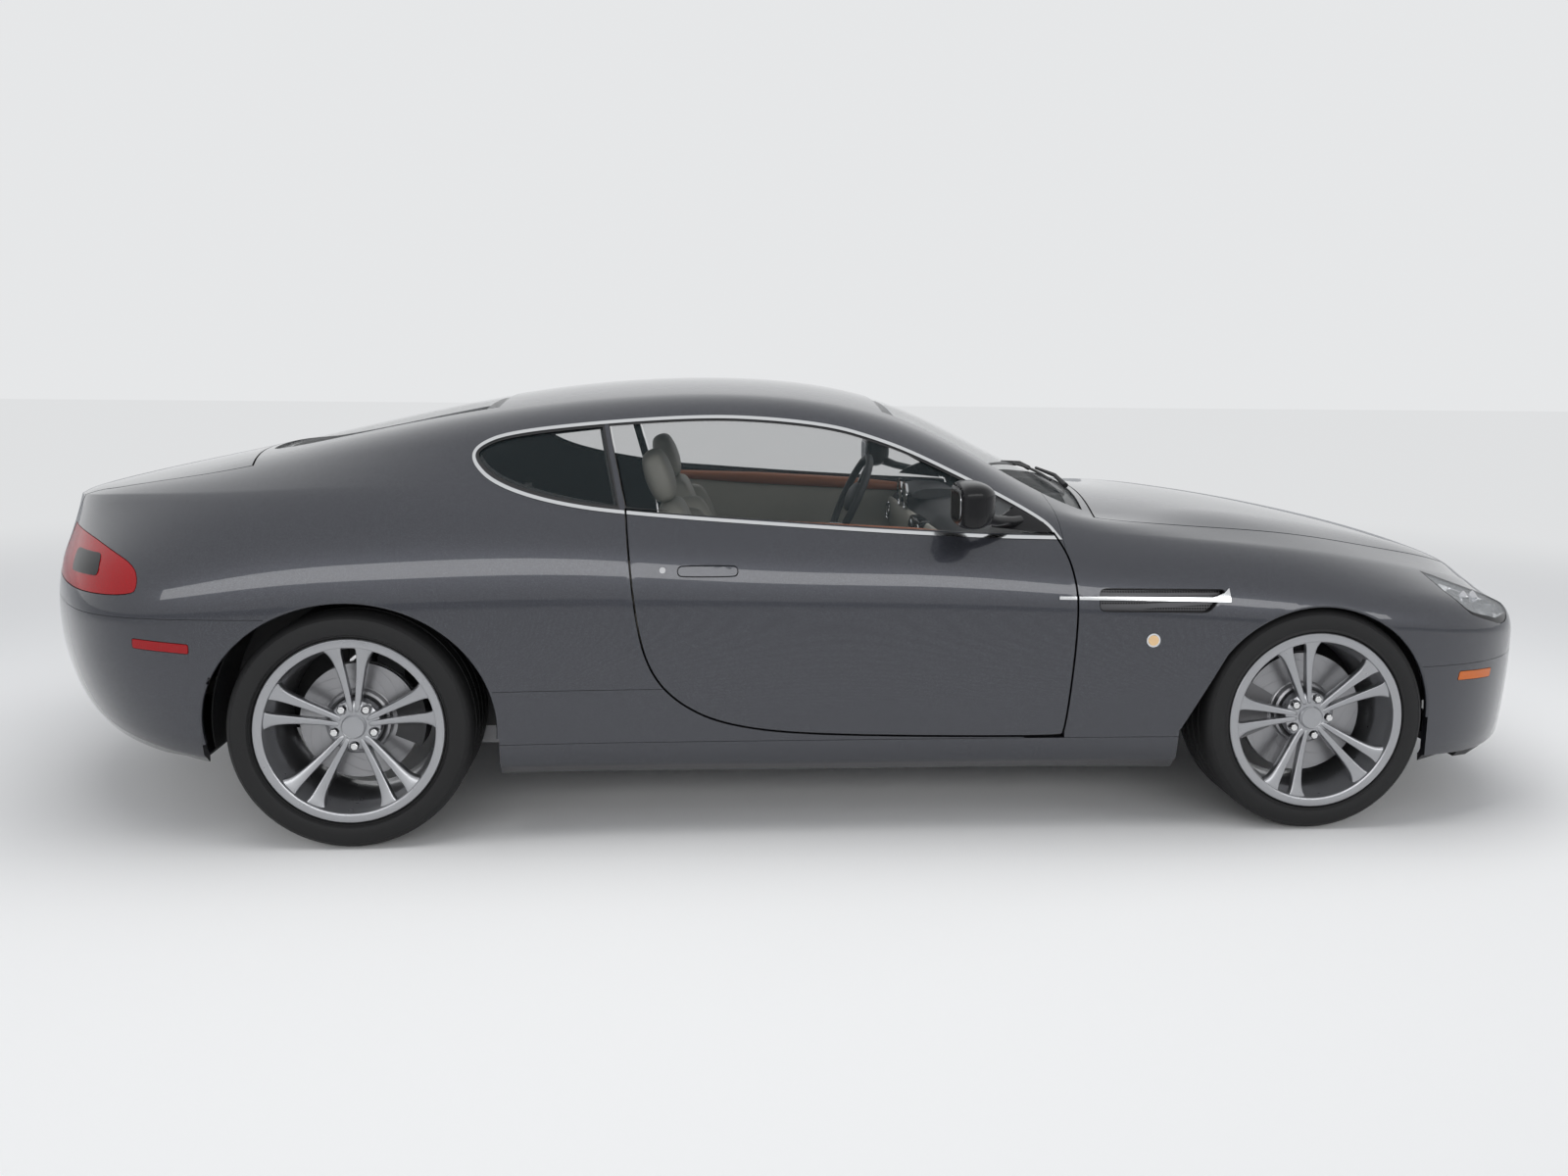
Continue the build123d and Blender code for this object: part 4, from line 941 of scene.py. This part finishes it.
lens = Finish("clear lamp cover", (0.9, 0.93, 0.95), 0.01, slot="clear_lens", Alpha=0.16, IOR=1.55)
black_gloss = Finish("black gloss plastic", (0.01, 0.01, 0.011), 0.16, Specular_IOR_Level=0.25)
black_gloss.uneven(0.14, 0.08, 40.0, 2.0)
red = Finish("red lens", (0.3, 0.002, 0.005), 0.08, slot="red_lens", Specular_IOR_Level=0.35)
amber = Finish("amber lens", (0.55, 0.13, 0.02), 0.08, slot="amber_lens", Specular_IOR_Level=0.35)
cream = Finish("pale amber lens", (0.75, 0.5, 0.25), 0.12, slot="amber_lens", Coat_Weight=1.0)
cream.uneven(0.1, 0.1, 200.0, 2.0)
for moulded in (red, amber):
    ribs = moulded.node("TexWave", {"bands_direction": "X"}, output=1, Vector=moulded.place(), Scale=60.0)
    moulded.bump(ribs * 1.0, 0.18, 0.001)

cover = layer("headlamp_covers", 0.4, 3.4, lamp_prism(-1), lens)
lamp_edge = layer("headlamp_edges", 0.2, 5, lamp_prism(-0.8))
lamp_under = keep(copy_of(lamp_edge, "headlamp_lower_surrounds"), slab(1700, 2400, 500, 606))
cut(lamp_edge, [lamp_prism(-5)])
cut(cover, [slab(1700, 2400, 500, 606.5)])
cut(lamp_edge, [slab(1700, 2400, 500, 606.5)])
for piece in (lamp_edge, lamp_under, cover):
    polish(piece, TRIM_DEPTH)
dress([lamp_edge, lamp_under], black_gloss)
layer("headlamp_housings", 40, 60, lamp_prism(-1), black_gloss)
walls = layer("headlamp_walls", 3.5, 60, lamp_prism(-1))
cut(walls, [lamp_prism(-5)])
dress([walls], black_gloss)
rim_light = layer("headlamp_rims", 14, 40, lamp_prism(-5))
cut(rim_light, [lamp_prism(-9)])
cut(rim_light, [slab(1700, 1945, 500, 1000)])
dress([rim_light], bright)
reflector = Finish("lamp reflector", (0.6, 0.6, 0.62), 0.1, 1.0, slot="bright_metal")
bulb_glass = Finish("projector glass", (0.5, 0.55, 0.6), 0.02, 0.2, slot="clear_lens", Coat_Weight=1.0)
spin = Vector((0.8, -0.25, 0.35)).normalized().to_track_quat("Z", "Y").to_matrix().to_4x4()
for number, (x, y, z, size) in enumerate(((2046, -702, 640, 34), (1984, -744, 656, 26))):
    bowl = [(size, 12), (size - 3, 12), (size - 9, -4), (size * 0.55, -8), (0, -8), (0, -14), (size, -14)]
    ball = [(0, 12), (size * 0.3, 10), (size * 0.48, 4), (size * 0.55, -6), (0, -6)]
    place = Matrix.Translation(Vector((x, y, z)) * MM) @ spin @ Matrix.Rotation(pi / 2, 4, "X")
    for part_name, line, finish in (("bowl", bowl, reflector), ("ball", ball, bulb_glass)):
        piece = turned("projector_%s_%d" % (part_name, number), line, (0, 0, 0), 40, 1, closed=False)
        piece.data.transform(place)
        other = mirrored(piece, piece.name + "_left")
        dress([piece, other], finish)
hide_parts("headlamps")

tail = layer("tail_lamp_covers", 0.6, 7, prism(TAIL_LAMP, "side", *TAIL_SPAN, -1), red)
layer("tail_lamp_housings", 7.2, 24, prism(TAIL_LAMP, "side", *TAIL_SPAN, -1), black_gloss)
INSERT = rounded([(-2116, 742), (-1978, 748), (-1990, 802), (-2124, 798)], 16)
layer("tail_lamp_inserts", -0.8, 4, prism(INSERT, "side", *TAIL_SPAN), black_gloss)
layer("rear_side_markers", -1.2, 6, prism(REAR_MARKER, "side", *PANEL, -0.5), red)
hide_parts("tail_lamps")
front_marks = layer("front_side_markers", -1.2, 6, prism(FRONT_MARKER, "side", *PANEL, -0.5), amber)
layer("side_repeaters", -4, 10, repeater_hole(-5), cream)
bezel = layer("repeater_bezels", -2.4, 8, repeater_hole(0))
cut(bezel, [repeater_hole(-4.7)])
dress([bezel], bright)
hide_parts("amber_lamps")

# ---------------------------------------------------------------- grille, vents and side strakes
# Formed bars across the air intake with a bright frame, woven mesh behind, and a mesh-backed vent in
# each wing with a polished strake that runs on over the door.
mesh_weave = Finish("woven mesh", (0.02, 0.02, 0.021), 0.4, 0.6, slot="dark_metal")
cells = mesh_weave.node("TexVoronoi", {"feature": "DISTANCE_TO_EDGE"}, Vector=mesh_weave.place(), Scale=130.0,
                        Randomness=0.0)
# the grey wires are the mesh's own colour; the openings between them are painted near black, a painted shade
# for the dark space behind the mesh
mesh_weave.colours((cells > 0.16) * 1.0, (0.09, 0.09, 0.095), (0.004, 0.004, 0.004))
mesh_weave.bump((cells < 0.16) * 1.0, 0.7, 0.002)
layer("vent_meshes", 18, 20, prism(VENT, "side", *PANEL, 1), mesh_weave)
vent_walls = layer("vent_walls", 0.6, 20, prism(VENT, "side", *PANEL, -0.2))
cut(vent_walls, [prism(VENT, "side", *PANEL, -2.5)])
dress([vent_walls], black_gloss)
STRAKE = [(684, 701), (684, 692), (1182, 684), (1182, 695), (1180, 722), (1164, 708), (1130, 696)]
strake = layer("strake", -5, 2, prism(STRAKE, "side", *PANEL))
for side in ("right", "left"):
    tip = keep(copy_of(strake, "strake_tip_" + side), prism(DOOR, "side", *PANEL, -1, side))
    polish(tip, TRIM_DEPTH)
    dress([tip], bright, "door_" + side)
cut(strake, [prism(DOOR, "side", *PANEL, GAP)])
polish(strake, TRIM_DEPTH)
dress([strake], bright)

GRILLE_BARS = 7
bars, rise, spread = [], INTAKE_HIGH - INTAKE_LOW, INTAKE_TOP - INTAKE_FOOT
for number in range(GRILLE_BARS):
    z = INTAKE_LOW + rise / (GRILLE_BARS + 1) * (number + 1)
    half = INTAKE_FOOT + spread * (z - INTAKE_LOW) / rise - 7
    bow = [(2312 - 26 * (y / half) ** 2, y, z) for y in np.linspace(-half, half, 25)]
    bars.append(rod("grille bar", bow, 4.5, 10))
grille_bars = joined("grille_bars", bars)
dress([grille_bars], bright)
block("grille_mesh", (2238, -INTAKE_TOP, INTAKE_LOW), (2242, INTAKE_TOP, INTAKE_HIGH), 0.5, 1, mesh_weave)
grille_rim = layer("grille_rim", -1.5, 18, prism(GRILLE, "front", 2100, 2400, -0.5))
cut(grille_rim, [prism(GRILLE, "front", 2000, 2420, -9)])
dress([grille_rim], bright)
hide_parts("grilles")

# ---------------------------------------------------------------- lower edges
# Unpainted dark composite: a splitter under the nose, strips under the sills and a diffuser with
# fins under the tail, screwed to the undertray.
composite = Finish("dark composite", (0.02, 0.02, 0.021), 0.5)
composite.uneven(0.42, 0.2, 90.0, 3.0)
composite.bump(composite.noise(700.0, 1.0), 0.15, 0.0003)
for node in ("lower_trims", "arch_liners"):
    coat(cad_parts[node], composite)
fins = [block("fin", (-2190, y - 3, 262), (-2010, y + 3, 300), 1.5, 2) for y in (-300, -150, 0, 150, 300)]
diffuser_fins = joined("diffuser_fins", fins)
dress([diffuser_fins], composite)

# ---------------------------------------------------------------- door handles, locks and mirrors
# Flush alloy handles in slots of the door skins with a round lock behind, and the mirrors' black
# heads on short arms from triangular feet, each with its glass.
HANDLE_X, HANDLE_Z = -308, 771.5
SLOT = [(-86, 0), (-82, 12), (-70, 16.5), (70, 16.5), (82, 12), (86, 0), (82, -12), (70, -16.5), (-70, -16.5),
        (-82, -12)]
handle_line = curved([(HANDLE_X + x, HANDLE_Z + z) for x, z in SLOT], passes=2)


def disc_tool(x, z, radius, side):
    turn = np.linspace(0, 2 * pi, 25)[:-1]
    return prism([(x + radius * cos(t), z + radius * sin(t)) for t in turn], "side", *PANEL, 0, side)


lock_steel = Finish("lock steel", (0.3, 0.3, 0.31), 0.35, 0.9, slot="bright_metal")
for side in ("right", "left"):
    cut(door_skins[side], [prism(handle_line, "side", 868, 1000, 0, side)])
    polish(door_skins[side])
    body = "door_" + side
    layer("door_handle_" + side, -0.6, 5, prism(handle_line, "side", *PANEL, -3.2, side), paint, body)
    layer("door_handle_button_" + side, -2.0, 2, disc_tool(-240, HANDLE_Z, 7, side), paint, body)
    layer("door_lock_" + side, -2.2, 3, disc_tool(-433, 775, 8.5, side), lock_steel, body)

# mirrors: a domed head with a flat glass, on an arm from the triangular foot at the window's corner
SAIL = [(505, 884), (676, 868), (668, 894), (590, 938), (540, 912)]
for side, out in SIDES:
    body = "door_" + side
    layer("mirror_foot_" + side, -3, 8, prism(SAIL, "side", *GLAZING, 0, side), black_gloss, body)
    bpy.ops.mesh.primitive_cube_add(size=1)
    head = bpy.context.object
    head.name = head.data.name = "mirror_head_" + side
    bpy.ops.object.mode_set(mode="EDIT")
    bpy.ops.mesh.select_all(action="SELECT")
    bpy.ops.mesh.subdivide(number_cuts=2)
    bpy.ops.object.mode_set(mode="OBJECT")
    for vert in head.data.vertices:
        u = vert.co * 2
        fore = max(0, u.x)
        grow = 1 - 0.42 * fore ** 2 - (0.1 if u.x < -0.9 else 0)
        vert.co = (u.x * 54 - 4 * fore * u.y ** 2, u.y * 98 * grow - 10 * fore,
                   u.z * 68 * grow * (1 - 0.12 * u.y ** 2) + 6 * fore)
    if out < 0:
        head.data.transform(Matrix.Diagonal((1, -1, 1, 1)))
        head.data.flip_normals()
    head.data.transform(Matrix.Translation(Vector((424, 942 * out, 966)) * MM) @ Matrix.Scale(MM, 4))
    refine(head, "SUBSURF", levels=3, render_levels=3)
    soften(head, 60)
    glass_line = rounded([(-64, -36), (64, -36), (66, 38), (-66, 40)], 24, 5)
    mirror_glass = prism([((y + 944) * out, z + 966) for y, z in glass_line], "front", 370.5, 380)
    mirror_glass.name = mirror_glass.data.name = "mirror_glass_" + side
    soften(mirror_glass)
    arm_line = [(596, 776 * out, 900), (560, 812 * out, 902), (500, 868 * out, 912), (446, 915 * out, 930)]
    rod("mirror_arm_" + side, arm_line, [15, 15, 16, 20], 16, black_gloss, body)
    dress([head], black_gloss, body)
    dress([mirror_glass], reflector, body)
    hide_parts("door_mirror_" + side)

# wipers: two pressed arms with rubber blades parked along the foot of the screen
def on_glass(x, y, lift):
    """A point this far outside the body surface, above the plan position x, y."""
    hit, normal, face, distance = surface_tree.ray_cast(Vector((x * MM, y * MM, 1.6)), Vector((0, 0, -1)))
    return tuple((hit + smooth_normal(hit)[0] * lift * MM) / MM)


wipers = []
for name, pivot, tip in (("driver", (868, 120), (800, 560)), ("passenger", (868, -330), (815, 130))):
    back, across = (pivot[0] - 40 - tip[0]) * 1.02, (pivot[1] - tip[1]) * 0.92
    blade_path = [on_glass(tip[0] + back * t, tip[1] + across * t, 7) for t in np.linspace(0, 1, 14)]
    arm_path = [on_glass(*pivot, 10), on_glass(pivot[0] - 14, pivot[1] + (tip[1] - pivot[1]) * 0.2, 22),
                on_glass((pivot[0] + tip[0]) / 2 - 12, (pivot[1] + tip[1]) / 2, 17)]
    wipers += [rod("wiper blade", blade_path, 5, 8), rod("wiper arm", arm_path, [9, 7, 5], 10)]
wipers = joined("wipers", wipers)
dress([wipers], rubber)

# ---------------------------------------------------------------- tail pipes and arch lips
# A polished lip on each exhaust pipe, and the painted, rolled edge that runs round each wheel arch.
def bright_ring(name, line, at, steps, closed=True):
    """Polished lathe work whose axis points along the car."""
    ring = turned(name, line, (0, 0, 0), steps, 1, closed)
    ring.data.transform(Matrix.Translation(Vector(at) * MM) @ Matrix.Rotation(pi / 2, 4, "Z"))
    dress([ring], bright)


for side, out in SIDES:
    bright_ring("exhaust_tip_" + side, [(44, 0), (47, 2), (48, -6), (46.5, -60), (42, -60), (41, -4)],
                (-2170, PIPE[0] * out, PIPE[1]), 48)


def arch_line(axle):
    """The arch's edge from front to back in x and z."""
    x, _, z, _, _, _, half, high = AXLES[axle]
    ends = (0.0, 0.801 * pi) if axle == "front" else (-0.08, pi + 0.12)
    line = [(x + half * cos(t), z + high * sin(t)) for t in np.linspace(*ends, 60)]
    if axle == "front":
        (foot_x, foot_z), (end_x, end_z) = FRONT_FLARE[1], line[-1]
        line += [(foot_x + (end_x - foot_x) * t, foot_z + (end_z - foot_z) * t)
                 for t in np.linspace(0.94, 0, 12)]
    return line


for axle in AXLES:
    path = []
    for x, z in arch_line(axle):
        hit = surface_tree.ray_cast(Vector((x * MM, -2, z * MM)), Vector((0, 1, 0)))[0]
        if hit is not None:
            path.append(tuple((hit - smooth_normal(hit)[0] * 6.5 * MM) / MM))
    lips = [rod("arch lip", [(x, -y * out, z) for x, y, z in path], 6.5, 14) for out in (-1, 1)]
    dress([joined("arch_lips_" + axle, lips)], paint)

# ---------------------------------------------------------------- running gear
# What shows underneath and through the wheels keeps the frame's own solids: folded and extruded
# alloy chassis, cast engine and uprights, steel links, springs and exhaust.
chassis_alloy = Finish("chassis alloy", (0.3, 0.3, 0.31), 0.5, 0.8)
chassis_alloy.uneven(0.42, 0.25, 14.0, 4.0)
cast_iron = Finish("cast metal", (0.16, 0.16, 0.165), 0.55, 0.8)
cast_iron.bump(cast_iron.noise(260.0, 3.0), 0.4, 0.0008)
steel = Finish("coated steel", (0.035, 0.035, 0.037), 0.45, 0.3)
steel.uneven(0.38, 0.2, 50.0, 3.0)
pipe_steel = Finish("stainless pipe", (0.45, 0.42, 0.38), 0.32, 1.0)
pipe_steel.uneven(0.25, 0.25, 18.0, 4.0)
for finish, names in ((chassis_alloy, ("chassis",)), (cast_iron, ("engine", "knuckle_right", "knuckle_left")),
                      (steel, ("front_suspension", "rear_suspension")), (pipe_steel, ("exhaust",))):
    for name in names:
        coat(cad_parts[name], finish)


# ---------------------------------------------------------------- cabin
# Leather-trimmed two-plus-two cabin: foam seats in sewn covers with bolsters and head restraints,
# a padded dashboard with vents, door trims with tan tops, and a leather-bound steering wheel.
pale_leather = Finish("pale leather", (0.42, 0.41, 0.36), 0.5, slot="pale_leather")
dark_leather = Finish("dark leather", (0.035, 0.035, 0.037), 0.48, slot="dark_leather")
tan_leather = Finish("tan leather", (0.34, 0.12, 0.055), 0.5, slot="dark_leather")
for hide in (pale_leather, dark_leather, tan_leather):
    grain = hide.node("TexVoronoi", output=0, Vector=hide.place(), Scale=520.0)
    hide.bump(grain * 0.6 + hide.noise(45.0, 3.0) * 0.8, 0.35, 0.0012)
    hide.uneven(0.42, 0.16, 70.0, 2.0)


def cushion(name, low, high, puff, finish, lean=0.0, pivot=None, crown=(0, 0, 0)):
    """A padded form: a cuboid divided, its corners pulled in, its faces crowned and smoothed."""
    low, high = Vector(low), Vector(high)
    middle, half = (low + high) / 2, (high - low) / 2
    bpy.ops.mesh.primitive_cube_add(size=2, location=(0, 0, 0))
    piece = bpy.context.object
    piece.name = piece.data.name = name
    bpy.ops.object.mode_set(mode="EDIT")
    bpy.ops.mesh.select_all(action="SELECT")
    bpy.ops.mesh.subdivide(number_cuts=5)
    bpy.ops.object.mode_set(mode="OBJECT")
    for vert in piece.data.vertices:
        u = Vector(vert.co)
        for k in range(3):
            one, other = u[(k + 1) % 3], u[(k + 2) % 3]
            spread = 1 - puff * sum(abs(u[j]) ** 3 for j in range(3) if j != k) / 2
            swell = crown[k] * (1 - one ** 2) * (1 - other ** 2)
            face = 1 if u[k] > 0.99 else -1 if u[k] < -0.99 else 0
            vert.co[k] = (middle[k] + half[k] * u[k] * spread + swell * face) * MM
    if lean:
        at, turn = Vector(pivot) * MM, Matrix.Rotation(radians(lean), 4, "Y")
        piece.data.transform(Matrix.Translation(at) @ turn @ Matrix.Translation(-at))
    refine(piece, "SUBSURF", levels=2, render_levels=2)
    soften(piece, 60)
    dress([piece], finish)
    return piece


def seat_set(kind, x, y, z, width, depth, back, lean, head):
    """Cushion between two bolsters, a leaned back between two more, and a head restraint."""
    pieces = []
    hinge = (x, y, z + 60)
    half = width / 2
    centre = half - 88
    for part_name, x0, x1, y0, y1, z0, z1, angle, puff in (
            ("cushion", 30, depth, -centre, centre, 0, 122, -3, 0.14),
            ("bolster_inner", 20, depth - 20, centre - 14, half, -8, 158, -3, 0.22),
            ("bolster_outer", 20, depth - 20, -half, 14 - centre, -8, 158, -3, 0.22),
            ("back", -50, 48, -centre, centre, 40, back, -lean, 0.12),
            ("back_side_inner", -52, 92, centre - 12, half, 60, back - 70, -lean, 0.2),
            ("back_side_outer", -52, 92, -half, 12 - centre, 60, back - 70, -lean, 0.2),
            ("head_restraint", -42, 34, -118, 118, back + 6, back + head, -lean, 0.24)):
        if part_name == "head_restraint" and not head:
            continue
        crown = (8, 2, 4) if part_name == "head_restraint" else (6, 3, 8)
        pieces.append(cushion("%s_%s" % (kind, part_name), (x + x0, y + y0, z + z0), (x + x1, y + y1, z + z1),
                              puff, pale_leather, lean=angle, pivot=hinge, crown=crown))
    return pieces


SEAT_Y = 375                    # the middle of a front seat
front_seats, rear_seats = [], []
for side, out in SIDES:
    front_seats += seat_set("front_seat_" + side, -255, SEAT_Y * out, 345, 500, 455, 590, 19, 170)
    rear_seats += seat_set("rear_seat_" + side, -800, 345 * out, 385, 430, 290, 400, 22, 0)
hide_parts("front_seats")
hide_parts("rear_seats")
for side, out in SIDES:
    y = SEAT_Y * out
    block("seat_base_" + side, (-240, y - 200, 290), (170, y + 200, 350), 14, 3, dark_leather)

# centre tunnel and the trims that close the cabin
carpet = Finish("dark carpet", (0.025, 0.025, 0.028), 0.95)
boot_trim = [block("boot_trim", (-2040, y - 4, 400), (-1610, y + 4, 668), 2, 2) for y in (-572, 572)]
dress([joined("boot_side_trims", boot_trim)], carpet)
carpet.bump(carpet.noise(900.0, 3.0, 0.7), 0.9, 0.003)
cushion("console_trim", (-330, -108, 400), (480, 108, 536), 0.08, dark_leather)
cushion("armrest", (-300, -92, 520), (-30, 92, 566), 0.12, pale_leather, crown=(0, 0, 4))
block("console_panel", (0, -80, 530), (420, 80, 541), 4, 3, black_gloss)
rod("gear_selector", [(150, 0, 538), (152, 0, 560), (156, 0, 596)], [9, 7, 15], 20, bright)


def moulding(name, points, passes, y_from, y_to, finish):
    """A padded form with the same section all the way across."""
    piece = prism(curved(points, passes=passes), "side", y_from, y_to, 0, "right")
    piece.name = piece.data.name = name
    soften(piece, 40)
    dress([piece], finish)
    return piece


dash = moulding("dashboard_pad", [(478, 640), (452, 700), (448, 770), (486, 828), (560, 850), (760, 858),
                                  (880, 838), (900, 700), (640, 566)], 3, -705, 705, dark_leather)
moulding("dashboard_fascia", [(470, 650), (440, 708), (437, 765), (452, 800), (470, 790), (462, 760),
                              (466, 706), (490, 650)], 2, -700, 700, pale_leather)
block("centre_stack", (428, -104, 520), (500, 104, 800), 12, 3, black_gloss)
for number, y in enumerate((-600, -70, 70, 600)):
    vent_line = [(34, 0), (36, 3), (40, 3), (41, 0), (40, -3), (34, -3)]
    bright_ring("dash_vent_%d" % number, vent_line, (428, y, 748), 32)
moulding("instrument_hood", [(452, 838), (470, 880), (620, 884), (660, 852)], 3, -520, -215, dark_leather)
for number, y in enumerate((310, 425)):
    dial_line = [(0, 0), (46, 0), (49, 4), (52, 4), (53, 0), (50, -6), (0, -6)]
    bright_ring("dial_%d" % number, dial_line, (447, y, 846), 40, closed=False)
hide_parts("dashboard")

# steering wheel: a leather rim on three spokes and a padded centre, tilted towards the driver
WHEEL_AT, WHEEL_TILT = (245, 370, 828), 24
place_wheel = Matrix.Translation(Vector(WHEEL_AT) * MM) @ Matrix.Rotation(radians(-90 + WHEEL_TILT), 4, "Y") \
    @ Matrix.Rotation(radians(90), 4, "Z") @ Matrix.Scale(MM, 4)
bpy.ops.mesh.primitive_torus_add(major_radius=170, minor_radius=14.5, major_segments=72, minor_segments=16)
wheel_rim = bpy.context.object
bpy.ops.mesh.primitive_uv_sphere_add(segments=32, ring_count=16, radius=1, location=(0, 0, 0))
boss = bpy.context.object
bpy.ops.object.transform_apply()
boss.data.transform(Matrix.Translation((0, -8, -6)) @ Matrix.Diagonal((78, 60, 24, 1)))
arms = []
for angle in (0, 180, 270):
    bpy.ops.mesh.primitive_cube_add(size=1)
    arm = bpy.context.object
    arm.data.transform(Matrix.Rotation(radians(angle), 4, "Z") @ Matrix.Translation((108, 0, -5))
                       @ Matrix.Diagonal((118, 30, 11, 1)))
    refine(arm, "BEVEL", width=4, segments=3)
    arms.append(arm)
rim_and_boss = joined("steering_wheel_rim", [wheel_rim, boss])
arms = joined("steering_wheel_arms", arms)
for piece, finish, slot in ((rim_and_boss, dark_leather, "dark_leather"), (arms, black_gloss, "dark_metal")):
    piece.data.transform(place_wheel)
    soften(piece, 50)
    dress([piece], finish, "steering_wheel", slot)
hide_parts("steering_wheel")

# door trims with a tan top roll and an armrest
for side, out in SIDES:
    body = "door_" + side
    coat(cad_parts["door_card_" + side], pale_leather)
    low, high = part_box("door_card_" + side)
    inner = min(abs(low[1]), abs(high[1])) * 1000
    roll_line = [(x, (inner - inset) * out, z)
                 for x, inset, z in ((-480, 6, 884), (-100, 14, 868), (300, 14, 848), (620, 6, 824))]
    rod("door_top_" + side, roll_line, [16, 24, 24, 14], 16, tan_leather, body)
    reach = sorted((inner * out, (inner - 52) * out))
    block("door_armrest_" + side, (-330, reach[0], 600), (180, reach[1], 660), 18, 4, dark_leather, body)


# ---------------------------------------------------------------- studio
# A pale floor that fades into a pale background, soft lamps with one long strip at the side for the
# paint to reflect, and the camera beside the car.
BACKDROP = (0.86, 0.87, 0.88)
bpy.ops.mesh.primitive_plane_add(size=60, location=(0, 0, 0))
floor = bpy.context.object
floor.name = "studio_floor"
floor_finish = Finish("pale floor", (0.86, 0.86, 0.85), 0.7, Specular_IOR_Level=0.2)
coat(floor, floor_finish)

world = bpy.data.worlds.new("studio")
bpy.context.scene.world = world
world.use_nodes = True
nodes, links = world.node_tree.nodes, world.node_tree.links
lighting = nodes["Background"]
seen = nodes.new("ShaderNodeBackground")
mix = nodes.new("ShaderNodeMixShader")
path = nodes.new("ShaderNodeLightPath")
for background, colour, strength in ((lighting, (0.9, 0.93, 1.0), 0.42), (seen, BACKDROP, 0.92)):
    background.inputs["Color"].default_value = (*colour, 1)
    background.inputs["Strength"].default_value = strength
# the camera, gloss and glass see the backdrop; everything else gets the light
direct = Wire(world.node_tree, path.outputs["Is Camera Ray"])
for kind in ("Is Glossy Ray", "Is Transmission Ray"):
    direct = direct.math("MAXIMUM", direct, Wire(world.node_tree, path.outputs[kind]))
links.new(direct.socket, mix.inputs["Fac"])
links.new(lighting.outputs["Background"], mix.inputs[1])
links.new(seen.outputs["Background"], mix.inputs[2])
links.new(mix.outputs["Shader"], nodes["World Output"].inputs["Surface"])

LAMPS = [
    # name, place, aim, size x, size y, watts
    ("overhead", (0.3, -0.6, 4.2), (0, 0, 0.6), 6.0, 2.6, 125),
    ("side", (0.0, -7.0, 3.0), (0, 0, 0.7), 16.0, 1.3, 200),
    ("nose", (6.0, -3.0, 2.4), (1.2, 0, 0.6), 2.0, 2.0, 45),
    ("tail", (-6.0, -1.5, 2.6), (-1.2, 0, 0.8), 2.0, 2.0, 45),
    ("far", (0.0, 6.0, 3.0), (0, 0, 0.8), 6.0, 2.0, 95),
]
for name, place, aim, wide, high, watts in LAMPS:
    light = bpy.data.lights.new(name, "AREA")
    light.shape, light.size, light.size_y, light.energy = "RECTANGLE", wide, high, watts
    lamp = put(name, light)
    lamp.location = place
    lamp.rotation_euler = (Vector(aim) - Vector(place)).to_track_quat("-Z", "Y").to_euler()
    lamp.visible_glossy = name == "side"

EYE = (-0.3205, -4.110, 1.362)
YAW, PITCH, ROLL = 0.072, 0.101, 0.011
FOCAL = 1199 / 1600 * 36        # on a sensor 36 mm wide
SHIFT = (-0.0025, -0.070625)
camera_data = bpy.data.cameras.new("camera")
camera_data.sensor_width = 36
camera_data.lens = FOCAL
camera_data.shift_x, camera_data.shift_y = SHIFT
camera = put("camera", camera_data)
forward = Vector((sin(YAW) * cos(PITCH), cos(YAW) * cos(PITCH), -sin(PITCH)))
level = Vector((cos(YAW), -sin(YAW), 0))
upward = level.cross(forward)
right = level * cos(ROLL) + upward * sin(ROLL)
upward = upward * cos(ROLL) - level * sin(ROLL)
camera.matrix_world = Matrix([(right[k], upward[k], -forward[k], EYE[k]) for k in range(3)] + [(0, 0, 0, 1)])
bpy.context.scene.camera = camera
bpy.context.scene.view_settings.view_transform = "Standard"

# the floor fades into the backdrop away from the car, for what looks at it directly
FADE_FROM, FADE_TO = 3.4, 8.0
distance = floor_finish.node("VectorMath", {"operation": "LENGTH"}, output=1, i0=floor_finish.place())
fade = floor_finish.node("MapRange", {"interpolation_type": "SMOOTHSTEP"}, Value=distance, From_Min=FADE_FROM,
                         From_Max=FADE_TO)
camera_ray = floor_finish.node("LightPath")
glow = floor_finish.node("Emission", Color=(*BACKDROP, 1), Strength=0.86)
matt = Wire(floor_finish.tree, floor_finish.shader.outputs["BSDF"])
blend = floor_finish.node("MixShader", i0=fade * camera_ray, i1=matt, i2=glow)
floor_finish.tree.links.new(blend.socket, floor_finish.tree.nodes["Material Output"].inputs["Surface"])


# ---------------------------------------------------------------- helpers removed
for helper in (painted, lining, shell, nose, pane_sheet, edge_sheet, trim_sheet, seal_sheet):
    bpy.data.objects.remove(helper)
